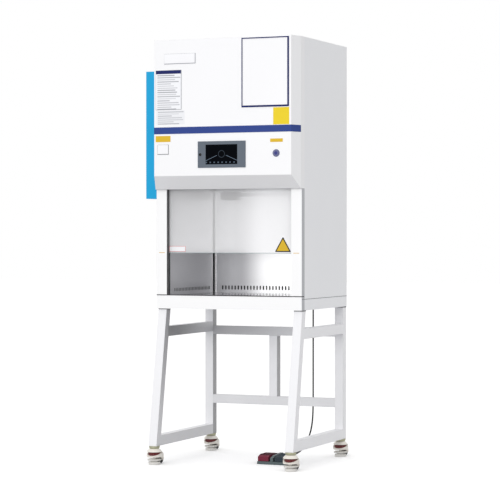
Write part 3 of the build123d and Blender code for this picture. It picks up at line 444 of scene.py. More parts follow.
# A white steel for the painted highlight on the chamber's rear folds.
highlight_steel = brushed("highlight_steel", rgb(255, 255, 255), Z, rough=0.14)
satin_aluminium = brushed("satin_aluminium", rgb(200, 201, 204), X, rough=0.35)
print("brushed metals", wall_steel.name, side_steel.name, right_lit_steel.name, tray_steel.name)

# %% [markdown]
# Moulded plastic and rubber have a fine eroded texture and no grain. One helper makes them all,
# from the wheel's hard nylon to the cable's jacket, by its colour, gloss and the size of the
# texture.

# %% Plastics and rubber


def moulded(
    name, color, rough=0.45, texture=900.0, depth=0.0001, drift=0.12, rounding=0.0006, coat=0.0, specular=0.35,
    shaded=(),
):
    """Moulded plastic or rubber with an eroded texture."""
    shade = Shade(name)
    shade.set(coat=coat, specular=specular)
    cloud = shade.noise(scale=18.0)
    shade.link(shade.zoned(shade.mix(cloud, color, dimmed(color, 1 - drift)), shaded), "Base Color")
    shade.link(shade.between(shade.noise(scale=120.0), rough - 0.06, rough + 0.08), "Roughness")
    shade.bump(shade.noise(scale=texture, detail=2.0), distance=depth, strength=0.4, rounding=rounding)
    return shade.material


dark_plastic = moulded("dark_plastic", rgb(52, 53, 56))
holder_grey = moulded("holder_grey", rgb(60, 62, 66), rough=0.5)
lens_black = moulded("lens_black", rgb(14, 14, 16), rough=0.25, specular=0.2)
channel_black = moulded("channel_black", rgb(78, 78, 80), rough=0.35)
slate_bezel = moulded("slate_bezel", rgb(101, 110, 121), rough=0.4, rounding=0.001, specular=0.2)
ivory_plastic = moulded("ivory_plastic", rgb(238, 233, 224), rough=0.3, coat=0.2, rounding=0.0015, drift=0.05)
pad_plastic = moulded("pad_plastic", rgb(232, 230, 225), rough=0.5, rounding=0.001, drift=0.06)
red_plastic = moulded("red_plastic", rgb(104, 32, 33), rough=0.35, specular=0.4)
wheel_nylon = moulded("wheel_nylon", rgb(46, 45, 44), rough=0.45, rounding=0.0015, specular=0.25)
pedal_slate = moulded("pedal_slate", rgb(46, 58, 66), rough=0.45, rounding=0.0015, specular=0.2)
switch_grey = moulded("switch_grey", rgb(94, 106, 108), rough=0.45, rounding=0.001, specular=0.2)
jacket_rubber = moulded("jacket_rubber", rgb(24, 24, 26), rough=0.5, texture=1500.0)
shadow_gap_dark = moulded("shadow_gap_dark", rgb(62, 62, 64), rough=0.7, specular=0.2)
seam_shadow = moulded("seam_shadow", rgb(138, 140, 144), rough=0.8, specular=0.1)
strap_web = moulded("strap_web", rgb(40, 40, 42), rough=0.8, texture=1200.0, depth=0.0004)
blue_core = moulded("blue_core", rgb(64, 68, 140), rough=0.35, specular=0.2)
violet_ring = moulded("violet_ring", rgb(104, 108, 146), rough=0.35, specular=0.4)
glass_rim = moulded("glass_rim", rgb(150, 166, 168), rough=0.2, specular=0.5)

pedal_top = span(Z, 38.5, FAR)
maroon_plastic = moulded(
    "maroon_plastic",
    rgb(122, 42, 62),
    rough=0.5,
    rounding=0.0015,
    specular=0.15,
    shaded=(([pedal_top], rgb(76, 34, 44)),),
)
print("plastics and rubbers", dark_plastic.name, ivory_plastic.name, maroon_plastic.name, jacket_rubber.name)

# %% [markdown]
# Printed films are thin and almost smooth. They take the same helper with a finer and shallower
# texture and hardly any drift in their colour, because ink is laid on evenly.

# %% Films and inks
film_texture = {"texture": 1400.0, "depth": 0.00003}
fine = {**film_texture, "drift": 0.06}
navy_film = moulded("navy_film", rgb(54, 74, 142), specular=0.1, **fine)
ink_navy = moulded("ink_navy", rgb(34, 42, 98), specular=0.1, **fine)
yellow_film = moulded("yellow_film", rgb(226, 186, 52), specular=0.15, **fine)
yellow_square_film = moulded("yellow_square_film", rgb(240, 212, 44), specular=0.15, **fine)
orange_film = moulded("orange_film", rgb(232, 196, 128), rough=0.5)
red_film = moulded("red_film", rgb(214, 120, 122), rough=0.5, specular=0.15)
ink_dark = moulded("ink_dark", rgb(52, 48, 42), rough=0.5, specular=0.15)
plate_film = moulded("plate_film", rgb(248, 248, 250), rough=0.3, drift=0.02, **film_texture)
outline_shadow_grey = moulded("outline_shadow_grey", rgb(172, 174, 180), rough=0.5, specular=0.15)
print("films", navy_film.name, ink_navy.name, yellow_film.name, plate_film.name)

# %% [markdown]
# The glass is clear. The pale veil that it shows against a bright room is a painted reflection:
# its front face is a thin white coat that lets half of the light through, so what is behind it
# stays readable and pale at the same time. The painted reflection thickens softly towards the
# right, where the bright side of the room lies in the glass. The lamp's tube comes from the same
# helper, with a grey coat all round.

# %% Glass
HARDLY_COATED = 0.03


def veiled_glass(name, veil, color, thicker=None, coated=None):
    """Thin glass with a pale coat, which thickens along a ramp and lies on one face where asked; on the sash the
    coat is a painted reflection.
    """
    shade = Shade(name)
    shade.set(rough=0.05, ior=1.45, specular=0.5)
    haze = shade.noise(scale=6.0, detail=2.0)
    cover = shade.between(haze, veil - 0.02, veil + 0.02)
    if thicker:
        fade, full = thicker
        share = shade.ramp(*fade)
        thin_part = shade.calc("MULTIPLY", cover, shade.calc("SUBTRACT", 1.0, share))
        cover = shade.calc("ADD", thin_part, shade.calc("MULTIPLY", share, full))
    if coated:
        face = shade.between(shade.inside([coated]), HARDLY_COATED, 1.0)
        cover = shade.calc("MULTIPLY", cover, face)
    shade.link(cover, "Alpha")
    shade.link(shade.mix(haze, color, dimmed(color, 0.98)), "Base Color")
    return shade.material


# The sash's white coat is a painted reflection of the room, on its front face and thicker towards the right.
glass_front = span(Y, -FAR, node_box("sash_glass")[0][Y] + EDGE)
reflection_fade = span(X, 20.0, 170.0)
sash_reflection = veiled_glass("sash_reflection", 0.5, rgb(253, 253, 254), (reflection_fade, 0.88), glass_front)
lamp_tube_glass = veiled_glass("lamp_tube_glass", 0.9, rgb(140, 143, 150))
print("glass", sash_reflection.name, lamp_tube_glass.name)

# %% [markdown]
# The display is dark, with a plain picture of its own: two sloping lines, a round dial and a row
# of keys. Small sums on the place on the screen draw it, so it stays sharp at any size and needs
# no image. The lines also glow a little, as a lit display does.

# %% Screen


def screen_picture():
    """Dark display with a plain pattern: two sloping lines, a round dial and a row of keys."""
    low, high = node_box("control_screen")
    shade = Shade("screen_picture")
    shade.set(rough=0.3, specular=0.03, glow_strength=0.35)
    calc = shade.calc
    places = shade.axes()
    centre = at((low[X] + high[X]) / 2, 0, (low[Z] + high[Z]) / 2)
    width, height = (high[X] - low[X]) * MM, (high[Z] - low[Z]) * MM
    across = calc("DIVIDE", calc("SUBTRACT", places[X], centre.x), width)
    up = calc("DIVIDE", calc("SUBTRACT", places[Z], centre.z), height)
    side = calc("ABSOLUTE", across)

    def band(value, middle, half):
        """1 where the value is near the middle."""
        return calc("LESS_THAN", calc("ABSOLUTE", calc("SUBTRACT", value, middle)), half)

    stroke = 0.012
    line_height, line_slope, line_start = 0.06, 0.75, 0.14
    slope = calc("ADD", up, calc("MULTIPLY", side, line_slope))
    lines = calc("MULTIPLY", band(slope, line_height, stroke), calc("GREATER_THAN", side, line_start))

    dial_height, dial_radius = 0.02, 0.17
    reach_x = calc("POWER", calc("MULTIPLY", across, width / height), 2.0)
    reach_z = calc("POWER", calc("SUBTRACT", up, dial_height), 2.0)
    dial = band(calc("SQRT", calc("ADD", reach_x, reach_z)), dial_radius, stroke)

    key_count, key_width, key_height, key_half = 8.0, 0.35, -0.4, 0.035
    key_part = calc("FRACT", calc("MULTIPLY", across, key_count))
    keys = calc("MULTIPLY", band(up, key_height, key_half), calc("LESS_THAN", key_part, key_width))

    ink = calc("ADD", calc("MULTIPLY", lines, 0.4), calc("MULTIPLY", dial, 0.12))
    ink = calc("ADD", ink, calc("MULTIPLY", keys, 0.24))
    ground = shade.mix(shade.noise(scale=30.0), rgb(0, 0, 2), rgb(2, 6, 14))
    shade.link(shade.mix(ink, ground, rgb(150, 170, 190)), "Base Color")
    shade.link(shade.mix(ink, rgb(0, 0, 0), rgb(120, 140, 160)), "Emission Color")
    return shade.material


display = screen_picture()
print("display", display.name)

# %% [markdown]
# Printed labels are pale film with grey rows where a real label has its text. The label's own
# height is cut into rows, and a fixed random value gives each row its length and its tone, so
# nothing can be read and nothing looks blank.

# %% Ruled label
TONE_OFFSET = 31.7  # parts the random values of a row's tone from those of its length


def ruled_label(name, low, high, rows, paper, ink):
    """Pale film with grey rows of uneven length and tone inside its margins, in place of text."""
    shade = Shade(name)
    shade.set(rough=0.45, specular=0.2)
    calc = shade.calc
    places = shade.axes()
    start, end = at(low[0], 0, low[1]), at(high[0], 0, high[1])
    width = {"Value": places[X], "From Min": start.x, "From Max": end.x}
    across = shade.node("MapRange", width).outputs[0]
    height = {"Value": places[Z], "From Min": start.z, "From Max": end.z, "To Max": rows}
    up = shade.node("MapRange", height, clamp=False).outputs[0]
    number = calc("FLOOR", up)

    def chance(value):
        """Fixed random value for a row."""
        return shade.node("TexWhiteNoise", {"W": value}, noise_dimensions="1D").outputs["Value"]

    printed = calc("LESS_THAN", calc("FRACT", up), 0.5)
    before_end = calc("LESS_THAN", across, shade.between(chance(number), 0.55, 1.0))
    past_margin = calc("GREATER_THAN", across, 0.06)
    tone = shade.between(chance(calc("ADD", number, TONE_OFFSET)), 0.25, 1.0)
    row = calc("MULTIPLY", calc("MULTIPLY", printed, before_end), past_margin)
    shade.link(shade.mix(calc("MULTIPLY", row, tone), paper, ink), "Base Color")
    return shade.material


instruction_film = ruled_label(
    "instruction_film", (-319.6, 1577.0), (-197.0, 1735.5), 17.0, rgb(244, 245, 248), rgb(112, 114, 124)
)
grey_label_film = ruled_label(
    "grey_label_film", (-318.6, 1512.0), (-179.0, 1573.0), 7.0, rgb(238, 239, 242), rgb(140, 142, 150)
)
print("ruled labels", instruction_film.name, grey_label_film.name)

# %% [markdown]
# Each construction node already has its shape, so it only needs its finish. The table pairs the
# nodes with the finishes, and one loop hands them out.

# %% Finishes for the construction nodes
CORNERS = ("front_left", "front_right", "rear_left", "rear_right")
finishes = {
    "side_panel_left": panel_coat,
    "side_panel_right": panel_coat,
    "rear_panel": rear_coat,
    "top_panel": side_coat,
    "base_frame": side_coat,
    "front_apron": post_coat,
    "front_frame": post_coat,
    "hood_shell": white_coat,
    "blank_panel": white_coat,
    # The dark finish of the edge trim is painted shade in the gap along the work edge.
    "edge_trim": shadow_gap_dark,
    "sash_channels": channel_black,
    "inner_wall_left": side_steel,
    "inner_wall_right": right_lit_steel,
    "inner_wall_rear": wall_steel,
    "work_tray": tray_steel,
    "ceiling_diffuser": wall_steel,
    "control_bezel": slate_bezel,
    "control_screen": display,
    "key_collar": violet_ring,
    "key_rotor": blue_core,
    "side_cover": cyan_coat,
    "supply_filter": satin_aluminium,
    "exhaust_filter": satin_aluminium,
    "blower_housing": zinc_steel,
    "blower_motor": dark_plastic,
    "impeller": satin_aluminium,
    "uv_lamp_holder": holder_grey,
    "uv_tube": lamp_tube_glass,
    "led_lamp": lamp_coat,
    "sash_glass": sash_reflection,
    "sash_hanger": satin_aluminium,
    "lift_shaft": bright_steel,
    "lift_motor": zinc_steel,
    "stand_side_left": left_stand_shaded_coat,
    "stand_side_right": stand_coat,
    "stand_rear": rear_stand_shaded_coat,
    "caster_stems": zinc_steel,
    "pedal_base": switch_grey,
    "pedal_left": maroon_plastic,
    "pedal_right": pedal_slate,
    "cord_gland": dark_plastic,
    "power_inlet": dark_plastic,
}
for corner in CORNERS:
    finishes["caster_housing_" + corner] = ivory_plastic
    finishes["caster_dial_" + corner] = red_plastic
    finishes["caster_pad_" + corner] = pad_plastic
    finishes["caster_wheel_" + corner] = wheel_nylon


def dress(piece, material):
    """One material on a whole piece."""
    piece.data.materials.clear()
    piece.data.materials.append(material)


for name, material in finishes.items():
    dress(nodes[name], material)
print("dressed", len(finishes), "nodes")

# %% [markdown]
# The cable gets its rubber jacket and rides on the cabinet, in place of the construction's cord,
# which is hidden. It runs from the outlet at the rear of the cabinet to the strain relief of the
# foot switch.

dress(switch_cord, jacket_rubber)
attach(switch_cord, "cabinet")
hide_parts("cord")
print("cord declared,", cord_diameter, "mm thick")

# %% [markdown]
# Flat things such as labels and plates share one maker: a slab with small bevelled edges, given
# by its limits in millimetres. It is built in bmesh, so that the bevel is real geometry, and its
# place is in its vertices. Everything round or framed is a loft: rows of points, joined by faces.

# %% Helpers for meshes


def mesh_of(name, build):
    """Mesh from a bmesh that the given function fills, with outward normals."""
    solid = bmesh.new()
    build(solid)
    bmesh.ops.recalc_face_normals(solid, faces=solid.faces)
    mesh = bpy.data.meshes.new(name)
    solid.to_mesh(mesh)
    solid.free()
    return mesh


def loft(solid, rows, ring=False):
    """Faces from each closed row of points to the next and, in a ring, from the last to the first."""
    following = rows[1:] + rows[:1] if ring else rows[1:]
    for here, there in zip(rows, following):
        for i in range(len(here)):
            j = (i + 1) % len(here)
            solid.faces.new((here[i], here[j], there[j], there[i]))


def circle(centre, across, beside, radius, sides):
    """Points round a circle in the plane of two unit vectors, all in the frame's metres."""
    angles = [2 * math.pi * i / sides for i in range(sides)]
    return [centre + (across * math.cos(angle) + beside * math.sin(angle)) * radius for angle in angles]


def slab_mesh(name, x, y, z, edge=0.0):
    """Slab between limits in millimetres, with bevelled edges where an edge size is given."""
    def build(solid):
        made = bmesh.ops.create_cube(solid, size=1.0)
        size = Vector(((x[1] - x[0]) * MM, (y[1] - y[0]) * MM, (z[1] - z[0]) * MM))
        middle = at((x[0] + x[1]) / 2, (y[0] + y[1]) / 2, (z[0] + z[1]) / 2)
        bmesh.ops.scale(solid, vec=size, verts=made["verts"])
        bmesh.ops.translate(solid, vec=middle, verts=made["verts"])
        if edge:
            bmesh.ops.bevel(
                solid, geom=solid.edges[:], offset=edge * MM, segments=2, affect="EDGES", profile=0.5
            )
    return mesh_of(name, build)


print("mesh helpers ready")

# %% [markdown]
# A mesh becomes a piece when it has its finish and the body that it rides on. A film is such a
# piece on a front plane, and a framed film has an open middle, as a printed border has.

# %% Helpers for pieces


def finish_piece(mesh, name, material, body):
    """Object from a mesh in the frame's metres, dressed, riding on its body."""
    piece = bpy.data.objects.new(name, mesh)
    bpy.context.collection.objects.link(piece)
    dress(piece, material)
    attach(piece, body)
    return piece


def film(name, x, z, material, y=hood_front, thickness=0.4, body="cabinet", edge=0.12):
    """Film, label or plate on the hood's front, or on another plane that faces the room."""
    mesh = slab_mesh(name, x, (y - thickness, y), z, edge)
    return finish_piece(mesh, name, material, body)


def frame_film(name, x, z, border, material, y=hood_front, thickness=0.6, body="cabinet"):
    """Rectangular border with an open middle, as wide as given at the left, right, bottom and top."""
    left, right, bottom, top = border

    def rectangle(solid, depth, share):
        low_x, high_x = x[0] + left * share, x[1] - right * share
        low_z, high_z = z[0] + bottom * share, z[1] - top * share
        corners = [(low_x, low_z), (high_x, low_z), (high_x, high_z), (low_x, high_z)]
        return [solid.verts.new(at(cx, depth, cz)) for cx, cz in corners]

    def build(solid):
        section = ((y, 0.0), (y, 1.0), (y - thickness, 1.0), (y - thickness, 0.0))
        loft(solid, [rectangle(solid, depth, share) for depth, share in section], ring=True)
    return finish_piece(mesh_of(name, build), name, material, body)


print("films lie on the hood's front at", round(hood_front, 1), "mm")

# %% [markdown]
# A navy band runs across the hood and turns round both chamfers. It follows the hood's own
# outline in plan, so it is built as a strip along that outline, with its ends closed.

# %% Navy band
hood_inset, chamfer_end = 22.0, 10.0
band_bottom, band_top = 1469.0, 1499.0
band_thickness = 0.8
corner_x = half_width - hood_inset
hood_plan = [
    (-half_width, -chamfer_end),
    (-corner_x, hood_front),
    (corner_x, hood_front),
    (half_width, -chamfer_end),
]


def outward(plan, thickness):
    """Outline in plan, moved out by a thickness at the mitred corners and running out at its ends."""
    turn = math.atan2(hood_inset, -hood_front - chamfer_end)
    shift = thickness * math.tan((math.pi / 2 - turn) / 2)
    return [
        plan[0],
        (plan[1][0] - shift, plan[1][1] - thickness),
        (plan[2][0] + shift, plan[2][1] - thickness),
        plan[3],
    ]


def band_mesh():
    """Strip along the hood's outline, as high as the band."""
    def build(solid):
        plans = (outward(hood_plan, band_thickness), hood_plan)
        low_outer, low_inner, high_outer, high_inner = [
            [solid.verts.new(at(px, py, z)) for px, py in plan] for z in (band_bottom, band_top) for plan in plans
        ]
        for i in range(len(hood_plan) - 1):
            solid.faces.new((low_outer[i], low_outer[i + 1], high_outer[i + 1], high_outer[i]))
            solid.faces.new((low_inner[i + 1], low_inner[i], high_inner[i], high_inner[i + 1]))
            solid.faces.new((low_inner[i], low_inner[i + 1], low_outer[i + 1], low_outer[i]))
            solid.faces.new((high_outer[i], high_outer[i + 1], high_inner[i + 1], high_inner[i]))
        bmesh.ops.remove_doubles(solid, verts=solid.verts, dist=1e-6)
    return mesh_of("hood_band", build)


band = finish_piece(band_mesh(), "hood_band", navy_film, "cabinet")
print("navy band", len(band.data.polygons), "faces,", band_top - band_bottom, "mm high")

# %% [markdown]
# The films on the hood are set out from its front sheet: a framed blank panel, a bare name plate,
# two pale labels, plain yellow films and a small blank cover. Real films are under half a
# millimetre thick, which is enough to catch a thin edge of light. The plate, the label and the
# cover each lie in a thin grey outline, widened into a painted shadow on the side where their
# shadow falls.

# %% Panel, plate and labels on the hood
panel_low, panel_high = node_box("blank_panel")
film("name_plate", (-278.0, -129.0), (1781.0, 1823.0), plate_film, thickness=2.5, edge=0.6)
film("instruction_label", (-319.6, -195.0), (1577.0, 1735.5), instruction_film)
film("instruction_header", (-319.6, -195.0), (1735.5, 1751.0), ink_navy)
film("rating_label", (-318.6, -179.0), (1512.0, 1573.0), grey_label_film)
film("yellow_square", (244.0, 319.0), (1501.0, 1575.0), yellow_square_film)
film("yellow_label_left", (-321.0, -248.0), (1434.0, 1461.0), yellow_film)
film("yellow_label_right", (230.0, 289.0), (1425.0, 1440.0), yellow_film)
film("blank_cover", (-311.0, -259.5), (1381.0, 1421.0), plate_film, thickness=1.2, edge=0.4)
# Grey outlines, widened on the right and the bottom into a painted shadow; the blank cover's is darker.
borders = (
    ("name_plate_edge", (-279.0, -126.0), (1778.0, 1824.0), (0.8, 3.0, 3.0, 0.8), outline_shadow_grey, 0.6),
    ("instruction_edge", (-320.6, -194.0), (1576.0, 1752.0), (1.2, 3.0, 2.4, 1.2), outline_shadow_grey, 0.5),
    ("blank_cover_edge", (-312.0, -257.0), (1378.0, 1422.0), (1.6, 4.0, 4.0, 1.6), seam_shadow, 0.6),
)
for name, x, z, border, material, thickness in borders:
    frame_film(name, x, z, border, material, thickness=thickness)
# The navy border is printed; it is wider on the right and the bottom, where it also stands for the panel's painted
# shadow.
frame_film(
    "panel_border",
    (panel_low[X], panel_high[X]),
    (panel_low[Z], panel_high[Z]),
    (5.0, 8.0, 8.0, 5.0),
    ink_navy,
    panel_low[Y],
    0.5,
)
print("films and borders on the hood placed")

# %% [markdown]
# The controls are a slate bezel with a small receiver window. The window is a dark lens, a shallow
# dome of rings that stands just in front of the bezel, where a remote control would be aimed.

# %% Receiver window
RIGHT, UP = Vector((1.0, 0.0, 0.0)), Vector((0.0, 0.0, 1.0))
bezel_low, bezel_high = node_box("control_bezel")
bezel_middle = (bezel_low[Z] + bezel_high[Z]) / 2
receiver_x, receiver_radius, receiver_rise = -102.0, 6.5, 1.2


def lens_mesh(name, x, y, z, radius, rise, rings=6, sides=32):
    """Shallow dome that faces the room."""
    def build(solid):
        tip = solid.verts.new(at(x, y - rise, z))
        rows = []
        for ring in range(1, rings + 1):
            share = ring / rings
            height = rise * math.sqrt(max(0.0, 1 - share ** 2))
            points = circle(at(x, y - height, z), RIGHT, UP, radius * share * MM, sides)
            rows.append([solid.verts.new(point) for point in points])
        for i in range(sides):
            solid.faces.new((tip, rows[0][i], rows[0][(i + 1) % sides]))
        loft(solid, rows)
        solid.faces.new(rows[-1])
    return mesh_of(name, build)


lens = lens_mesh("receiver_window", receiver_x, bezel_low[Y], bezel_middle, receiver_radius, receiver_rise)
finish_piece(lens, "receiver_window", lens_black, "cabinet")
print("receiver window", len(lens.polygons), "faces")

# %% [markdown]
# Two short orange marks on the posts show how high the glass may stand. On the glass itself are a
# bordered film at the left and a plain yellow triangle at the right, which ride with the sash.

# %% Marks on the posts and film on the glass
glass_low, glass_high = node_box("sash_glass")
for side, place in ((-1, "left"), (1, "right")):
    x = sorted((side * 310.0, side * 338.0))
    film("height_mark_" + place, x, (941.0, 944.0), orange_film, y=0.0, thickness=0.2, edge=0.05)
film("glass_label", (-299.0, -221.0), (948.0, 971.0), plate_film, y=glass_low[Y], body="sash")
frame_film(
    "glass_label_edge",
    (-300.0, -220.0),
    (947.0, 972.0),
    (1.8, 1.8, 1.8, 1.8),
    red_film,
    glass_low[Y],
    0.5,
    "sash",
)
print("height marks and glass label placed")

# %% [markdown]
# The triangle is a dark sheet with a smaller yellow one on it. Its corners are rounded by a short
# curve from one side to the next, because a punched film never has a sharp corner.

# %% Triangle on the glass


def triangle_mesh(name, x, z, y, thickness, inset, corner=5.0):
    """Upright triangle with rounded corners, moved in by an inset."""
    base, top = z
    points = [Vector((x[0], base)), Vector((x[1], base)), Vector(((x[0] + x[1]) / 2, top))]
    middle = sum(points, Vector((0.0, 0.0))) / 3
    points = [p + (middle - p).normalized() * inset * 2.0 for p in points]
    outline = []
    for i, here in enumerate(points):
        before, after = points[i - 1], points[(i + 1) % 3]
        start = here + (before - here).normalized() * corner
        end = here + (after - here).normalized() * corner
        for t in (0.0, 0.25, 0.5, 0.75, 1.0):
            outline.append(start * (1 - t) ** 2 + here * 2 * t * (1 - t) + end * t ** 2)

    def build(solid):
        rows = [[solid.verts.new(at(p.x, depth, p.y)) for p in outline] for depth in (y, y - thickness)]
        loft(solid, rows)
        for row in rows:
            solid.faces.new(row)
    return mesh_of(name, build)


triangle_x, triangle_z = (212.0, 289.0), (947.0, 1014.0)
border_thickness, face_thickness = 0.4, 0.2
border_mesh = triangle_mesh("triangle_border", triangle_x, triangle_z, glass_low[Y], border_thickness, 0.0)
finish_piece(border_mesh, "triangle_border", ink_dark, "sash")
face_y = glass_low[Y] - border_thickness
face_mesh = triangle_mesh("triangle_face", triangle_x, triangle_z, face_y, face_thickness, 5.0, 3.0)
finish_piece(face_mesh, "triangle_face", yellow_film, "sash")
print("triangle", len(border_mesh.polygons) + len(face_mesh.polygons), "faces")

# %% [markdown]
# Seams and legs get thin dark strips of painted shade. Where the lower band meets the side and
# rear sheets, a dark strip stands for the shadow in the seam, and on top of each leg a thin dark
# pad stands for the shadow gap under the cabinet.

# %% Seams and leg tops in painted shade
base_top = base_high[Z] / MM
base_rear = node_box("base_frame")[1][Y]
seam_height, seam_depth = 2.2, 0.3
seam_z = (base_top - seam_height / 2, base_top + seam_height / 2)
# The seams and the leg pads are dark strips of painted shade.
leg_shade_reach, leg_shade_height, leg_shade_edge = 0.8, 4.0, 0.3
front_leg_y = 15.0
for side, place in ((-1, "left"), (1, "right")):
    x = sorted((side * half_width, side * (half_width + seam_depth)))
    mesh = slab_mesh("seam_" + place, x, (0.0, base_rear), seam_z)
    finish_piece(mesh, "seam_" + place, seam_shadow, "cabinet")
    leg_low, leg_high = node_box("stand_side_" + place)
    x = (leg_low[X] - leg_shade_reach, leg_high[X] + leg_shade_reach)
    z = (leg_high[Z] - leg_shade_height, leg_high[Z] - EDGE)
    for start, end in ((front_leg_y, "front"), (leg_high[Y] - leg_width, "rear")):
        name = "leg_pad_%s_%s" % (end, place)
        mesh = slab_mesh(name, x, (start - leg_shade_reach, start + leg_width + leg_shade_reach), z, leg_shade_edge)
        finish_piece(mesh, name, shadow_gap_dark, "cabinet")
mesh = slab_mesh("seam_rear", (-half_width, half_width), (base_rear, base_rear + seam_depth), seam_z)
finish_piece(mesh, "seam_rear", seam_shadow, "cabinet")
print("seams and leg pads placed")

# %% [markdown]
# In the rear corners of the chamber a dark strip is painted shade in the corner, and a white strip
# beside it is a painted highlight on the fold. The glass has a ground lower edge with a soft
# green-grey tone.

# %% Corners of the chamber and the glass edge
chamber_half = 300.0
wall_y = node_box("inner_wall_rear")[0][Y]
clearance = 0.2
corner_z = (node_box("work_tray")[1][Z] + 0.3, node_box("ceiling_diffuser")[0][Z] - 0.3)
# A dark strip of painted shade in each corner, and a white strip of painted highlight on the fold beside it.
corner_strips = (
    ("corner_gap_", (clearance, 0.8), 14.0, 0.0, shadow_gap_dark, "dark_trim"),
    ("corner_trim_", (4.0, 13.0), 1.4, 0.3, highlight_steel, "stainless"),
)
for side, place in ((-1, "left"), (1, "right")):
    for start, offsets, depth, edge, material, slot_name in corner_strips:
        x = sorted(side * (chamber_half - offset) for offset in offsets)
        mesh = slab_mesh(start + place, x, (wall_y - depth, wall_y - clearance), corner_z, edge)
        finish_piece(mesh, start + place, material, "cabinet")
mesh = slab_mesh(
    "glass_edge",
    (-299.5, 299.5),
    (glass_low[Y] - 0.15, glass_high[Y] + 0.15),
    (glass_low[Z] - 0.3, glass_low[Z] + 2.0),
    0.1,
)
finish_piece(mesh, "glass_edge", glass_rim, "sash")
print("chamber corners and glass edge placed")

# %% [markdown]
# A cable is never clamped bare: a tapered sleeve of soft rubber spreads its bend where it leaves
# the outlet and where it enters the foot switch. Each sleeve is one turned profile, ribbed so that
# it can flex, and sits on the straight run of the cable.

# %% Strain reliefs


def turned_mesh(name, start, direction, profile, sides=24, ring=False):
    """Solid, or ring from a closed profile, turned about a line from (distance, radius) pairs in millimetres."""
    axis = Vector(direction).normalized()
    across = axis.orthogonal().normalized()
    beside = axis.cross(across)

    def build(solid):
        rows = []
        for along, radius in profile:
            points = circle(at(*start) + axis * along * MM, across, beside, radius * MM, sides)
            rows.append([solid.verts.new(point) for point in points])
        loft(solid, rows, ring)
        if not ring:
            solid.faces.new(rows[0])
            solid.faces.new(rows[-1])
    return mesh_of(name, build)


def sleeve_profile(start_radius, end_radius, length, ribs, groove=0.7):
    """Tapered sleeve with shallow grooves between its ribs."""
    profile = [(0.0, start_radius)]
    pitch = length / ribs
    for i in range(ribs):
        share = (i + 0.5) / ribs
        radius = start_radius + (end_radius - start_radius) * share
        profile += [
            (pitch * i + 0.3, radius),
            (pitch * (i + 0.6), radius),
            (pitch * (i + 0.65), radius - groove),
            (pitch * (i + 0.95), radius - groove),
        ]
    return profile + [(length, end_radius)]


sleeve_length, sleeve_ribs = 30.0, 6
sleeve_end = cord_diameter / 2 + 0.4
for name, start, direction, start_radius in (
    ("sleeve_outlet", (180.0, 575.0, 716.5), (0, 0, -1), 7.0),
    ("sleeve_switch", (213.0, 265.5, 37.0), (0, 1, 0), 6.0),
):
    mesh = turned_mesh(name, start, direction, sleeve_profile(start_radius, sleeve_end, sleeve_length, sleeve_ribs))
    finish_piece(mesh, name, jacket_rubber, "cabinet")
print("strain reliefs placed")

# %% [markdown]
# The sash hangs on two webbing straps that wind on drums behind the hood. Their mesh is a copy of
# the construction's, cut across into short lengths at even heights, and it takes the place of the
# construction's straps, which are hidden.

# %% Lift straps
strap_low, strap_high = node_box("lift_straps")
strap_cuts = 8


def cut_copy(name, source, low_z, high_z, cuts):
    """Copy of a node's mesh, cut across at even heights in millimetres."""
    solid = bmesh.new()
    solid.from_mesh(source.data)
    solid.transform(source.matrix_world)
    for i in range(1, cuts):
        height = low_z + (high_z - low_z) * i / cuts
        everything = solid.verts[:] + solid.edges[:] + solid.faces[:]
        bmesh.ops.bisect_plane(solid, geom=everything, plane_co=at(0.0, 0.0, height), plane_no=(0, 0, 1))
    mesh = bpy.data.meshes.new(name)
    solid.to_mesh(mesh)
    solid.free()
    return mesh


webbing_mesh = cut_copy("lift_webbing", nodes["lift_straps"], strap_low[Z], strap_high[Z], strap_cuts)
webbing = bpy.data.objects.new("lift_webbing", webbing_mesh)
bpy.context.collection.objects.link(webbing)
dress(webbing, strap_web)
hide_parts("lift_straps")
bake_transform(webbing)
print("webbing", len(webbing_mesh.vertices), "vertices from", round(strap_low[Z]), "to", round(strap_high[Z]), "mm")

# %% [markdown]
# A wide washer ring sets off the key switch on the hood. It is a flat turned ring with a bevel on
# its outer edge, and it lies on the hood round the lock's own ring.

# %% Ring round the key switch
collar_low, collar_high = node_box("key_collar")
key_place = ((collar_low[X] + collar_high[X]) / 2, hood_front, (collar_low[Z] + collar_high[Z]) / 2)
collar_radius = (collar_high[X] - collar_low[X]) / 2
ring_inner, ring_outer = collar_radius + 0.2, collar_radius + 4.4
ring_rise, ring_bevel = 2.0, 1.0
ring_section = [
    (0.0, ring_inner),
    (ring_rise, ring_inner),
    (ring_rise, ring_outer - ring_bevel),
    (ring_rise - ring_bevel, ring_outer),
    (0.0, ring_outer),
]
washer = turned_mesh("key_washer", key_place, (0, -1, 0), ring_section, sides=48, ring=True)
finish_piece(washer, "key_washer", violet_ring, "cabinet")
print("key washer", len(washer.polygons), "faces")

# %% [markdown]
# The sheets at the back and on top are held by rows of pan-head screws with a six-sided socket. The
# head is a loft of a few rows, and the rows of its socket are six-sided instead of round.

# %% Screw head
SCREW_ROWS = (  # share of the radius, share of the height, six-sided or round
    (1.0, 0.0, False),
    (1.0, 0.4, False),
    (0.86, 0.85, False),
    (0.6, 1.0, False),
    (0.42, 1.0, True),
    (0.42, 0.45, True),
)


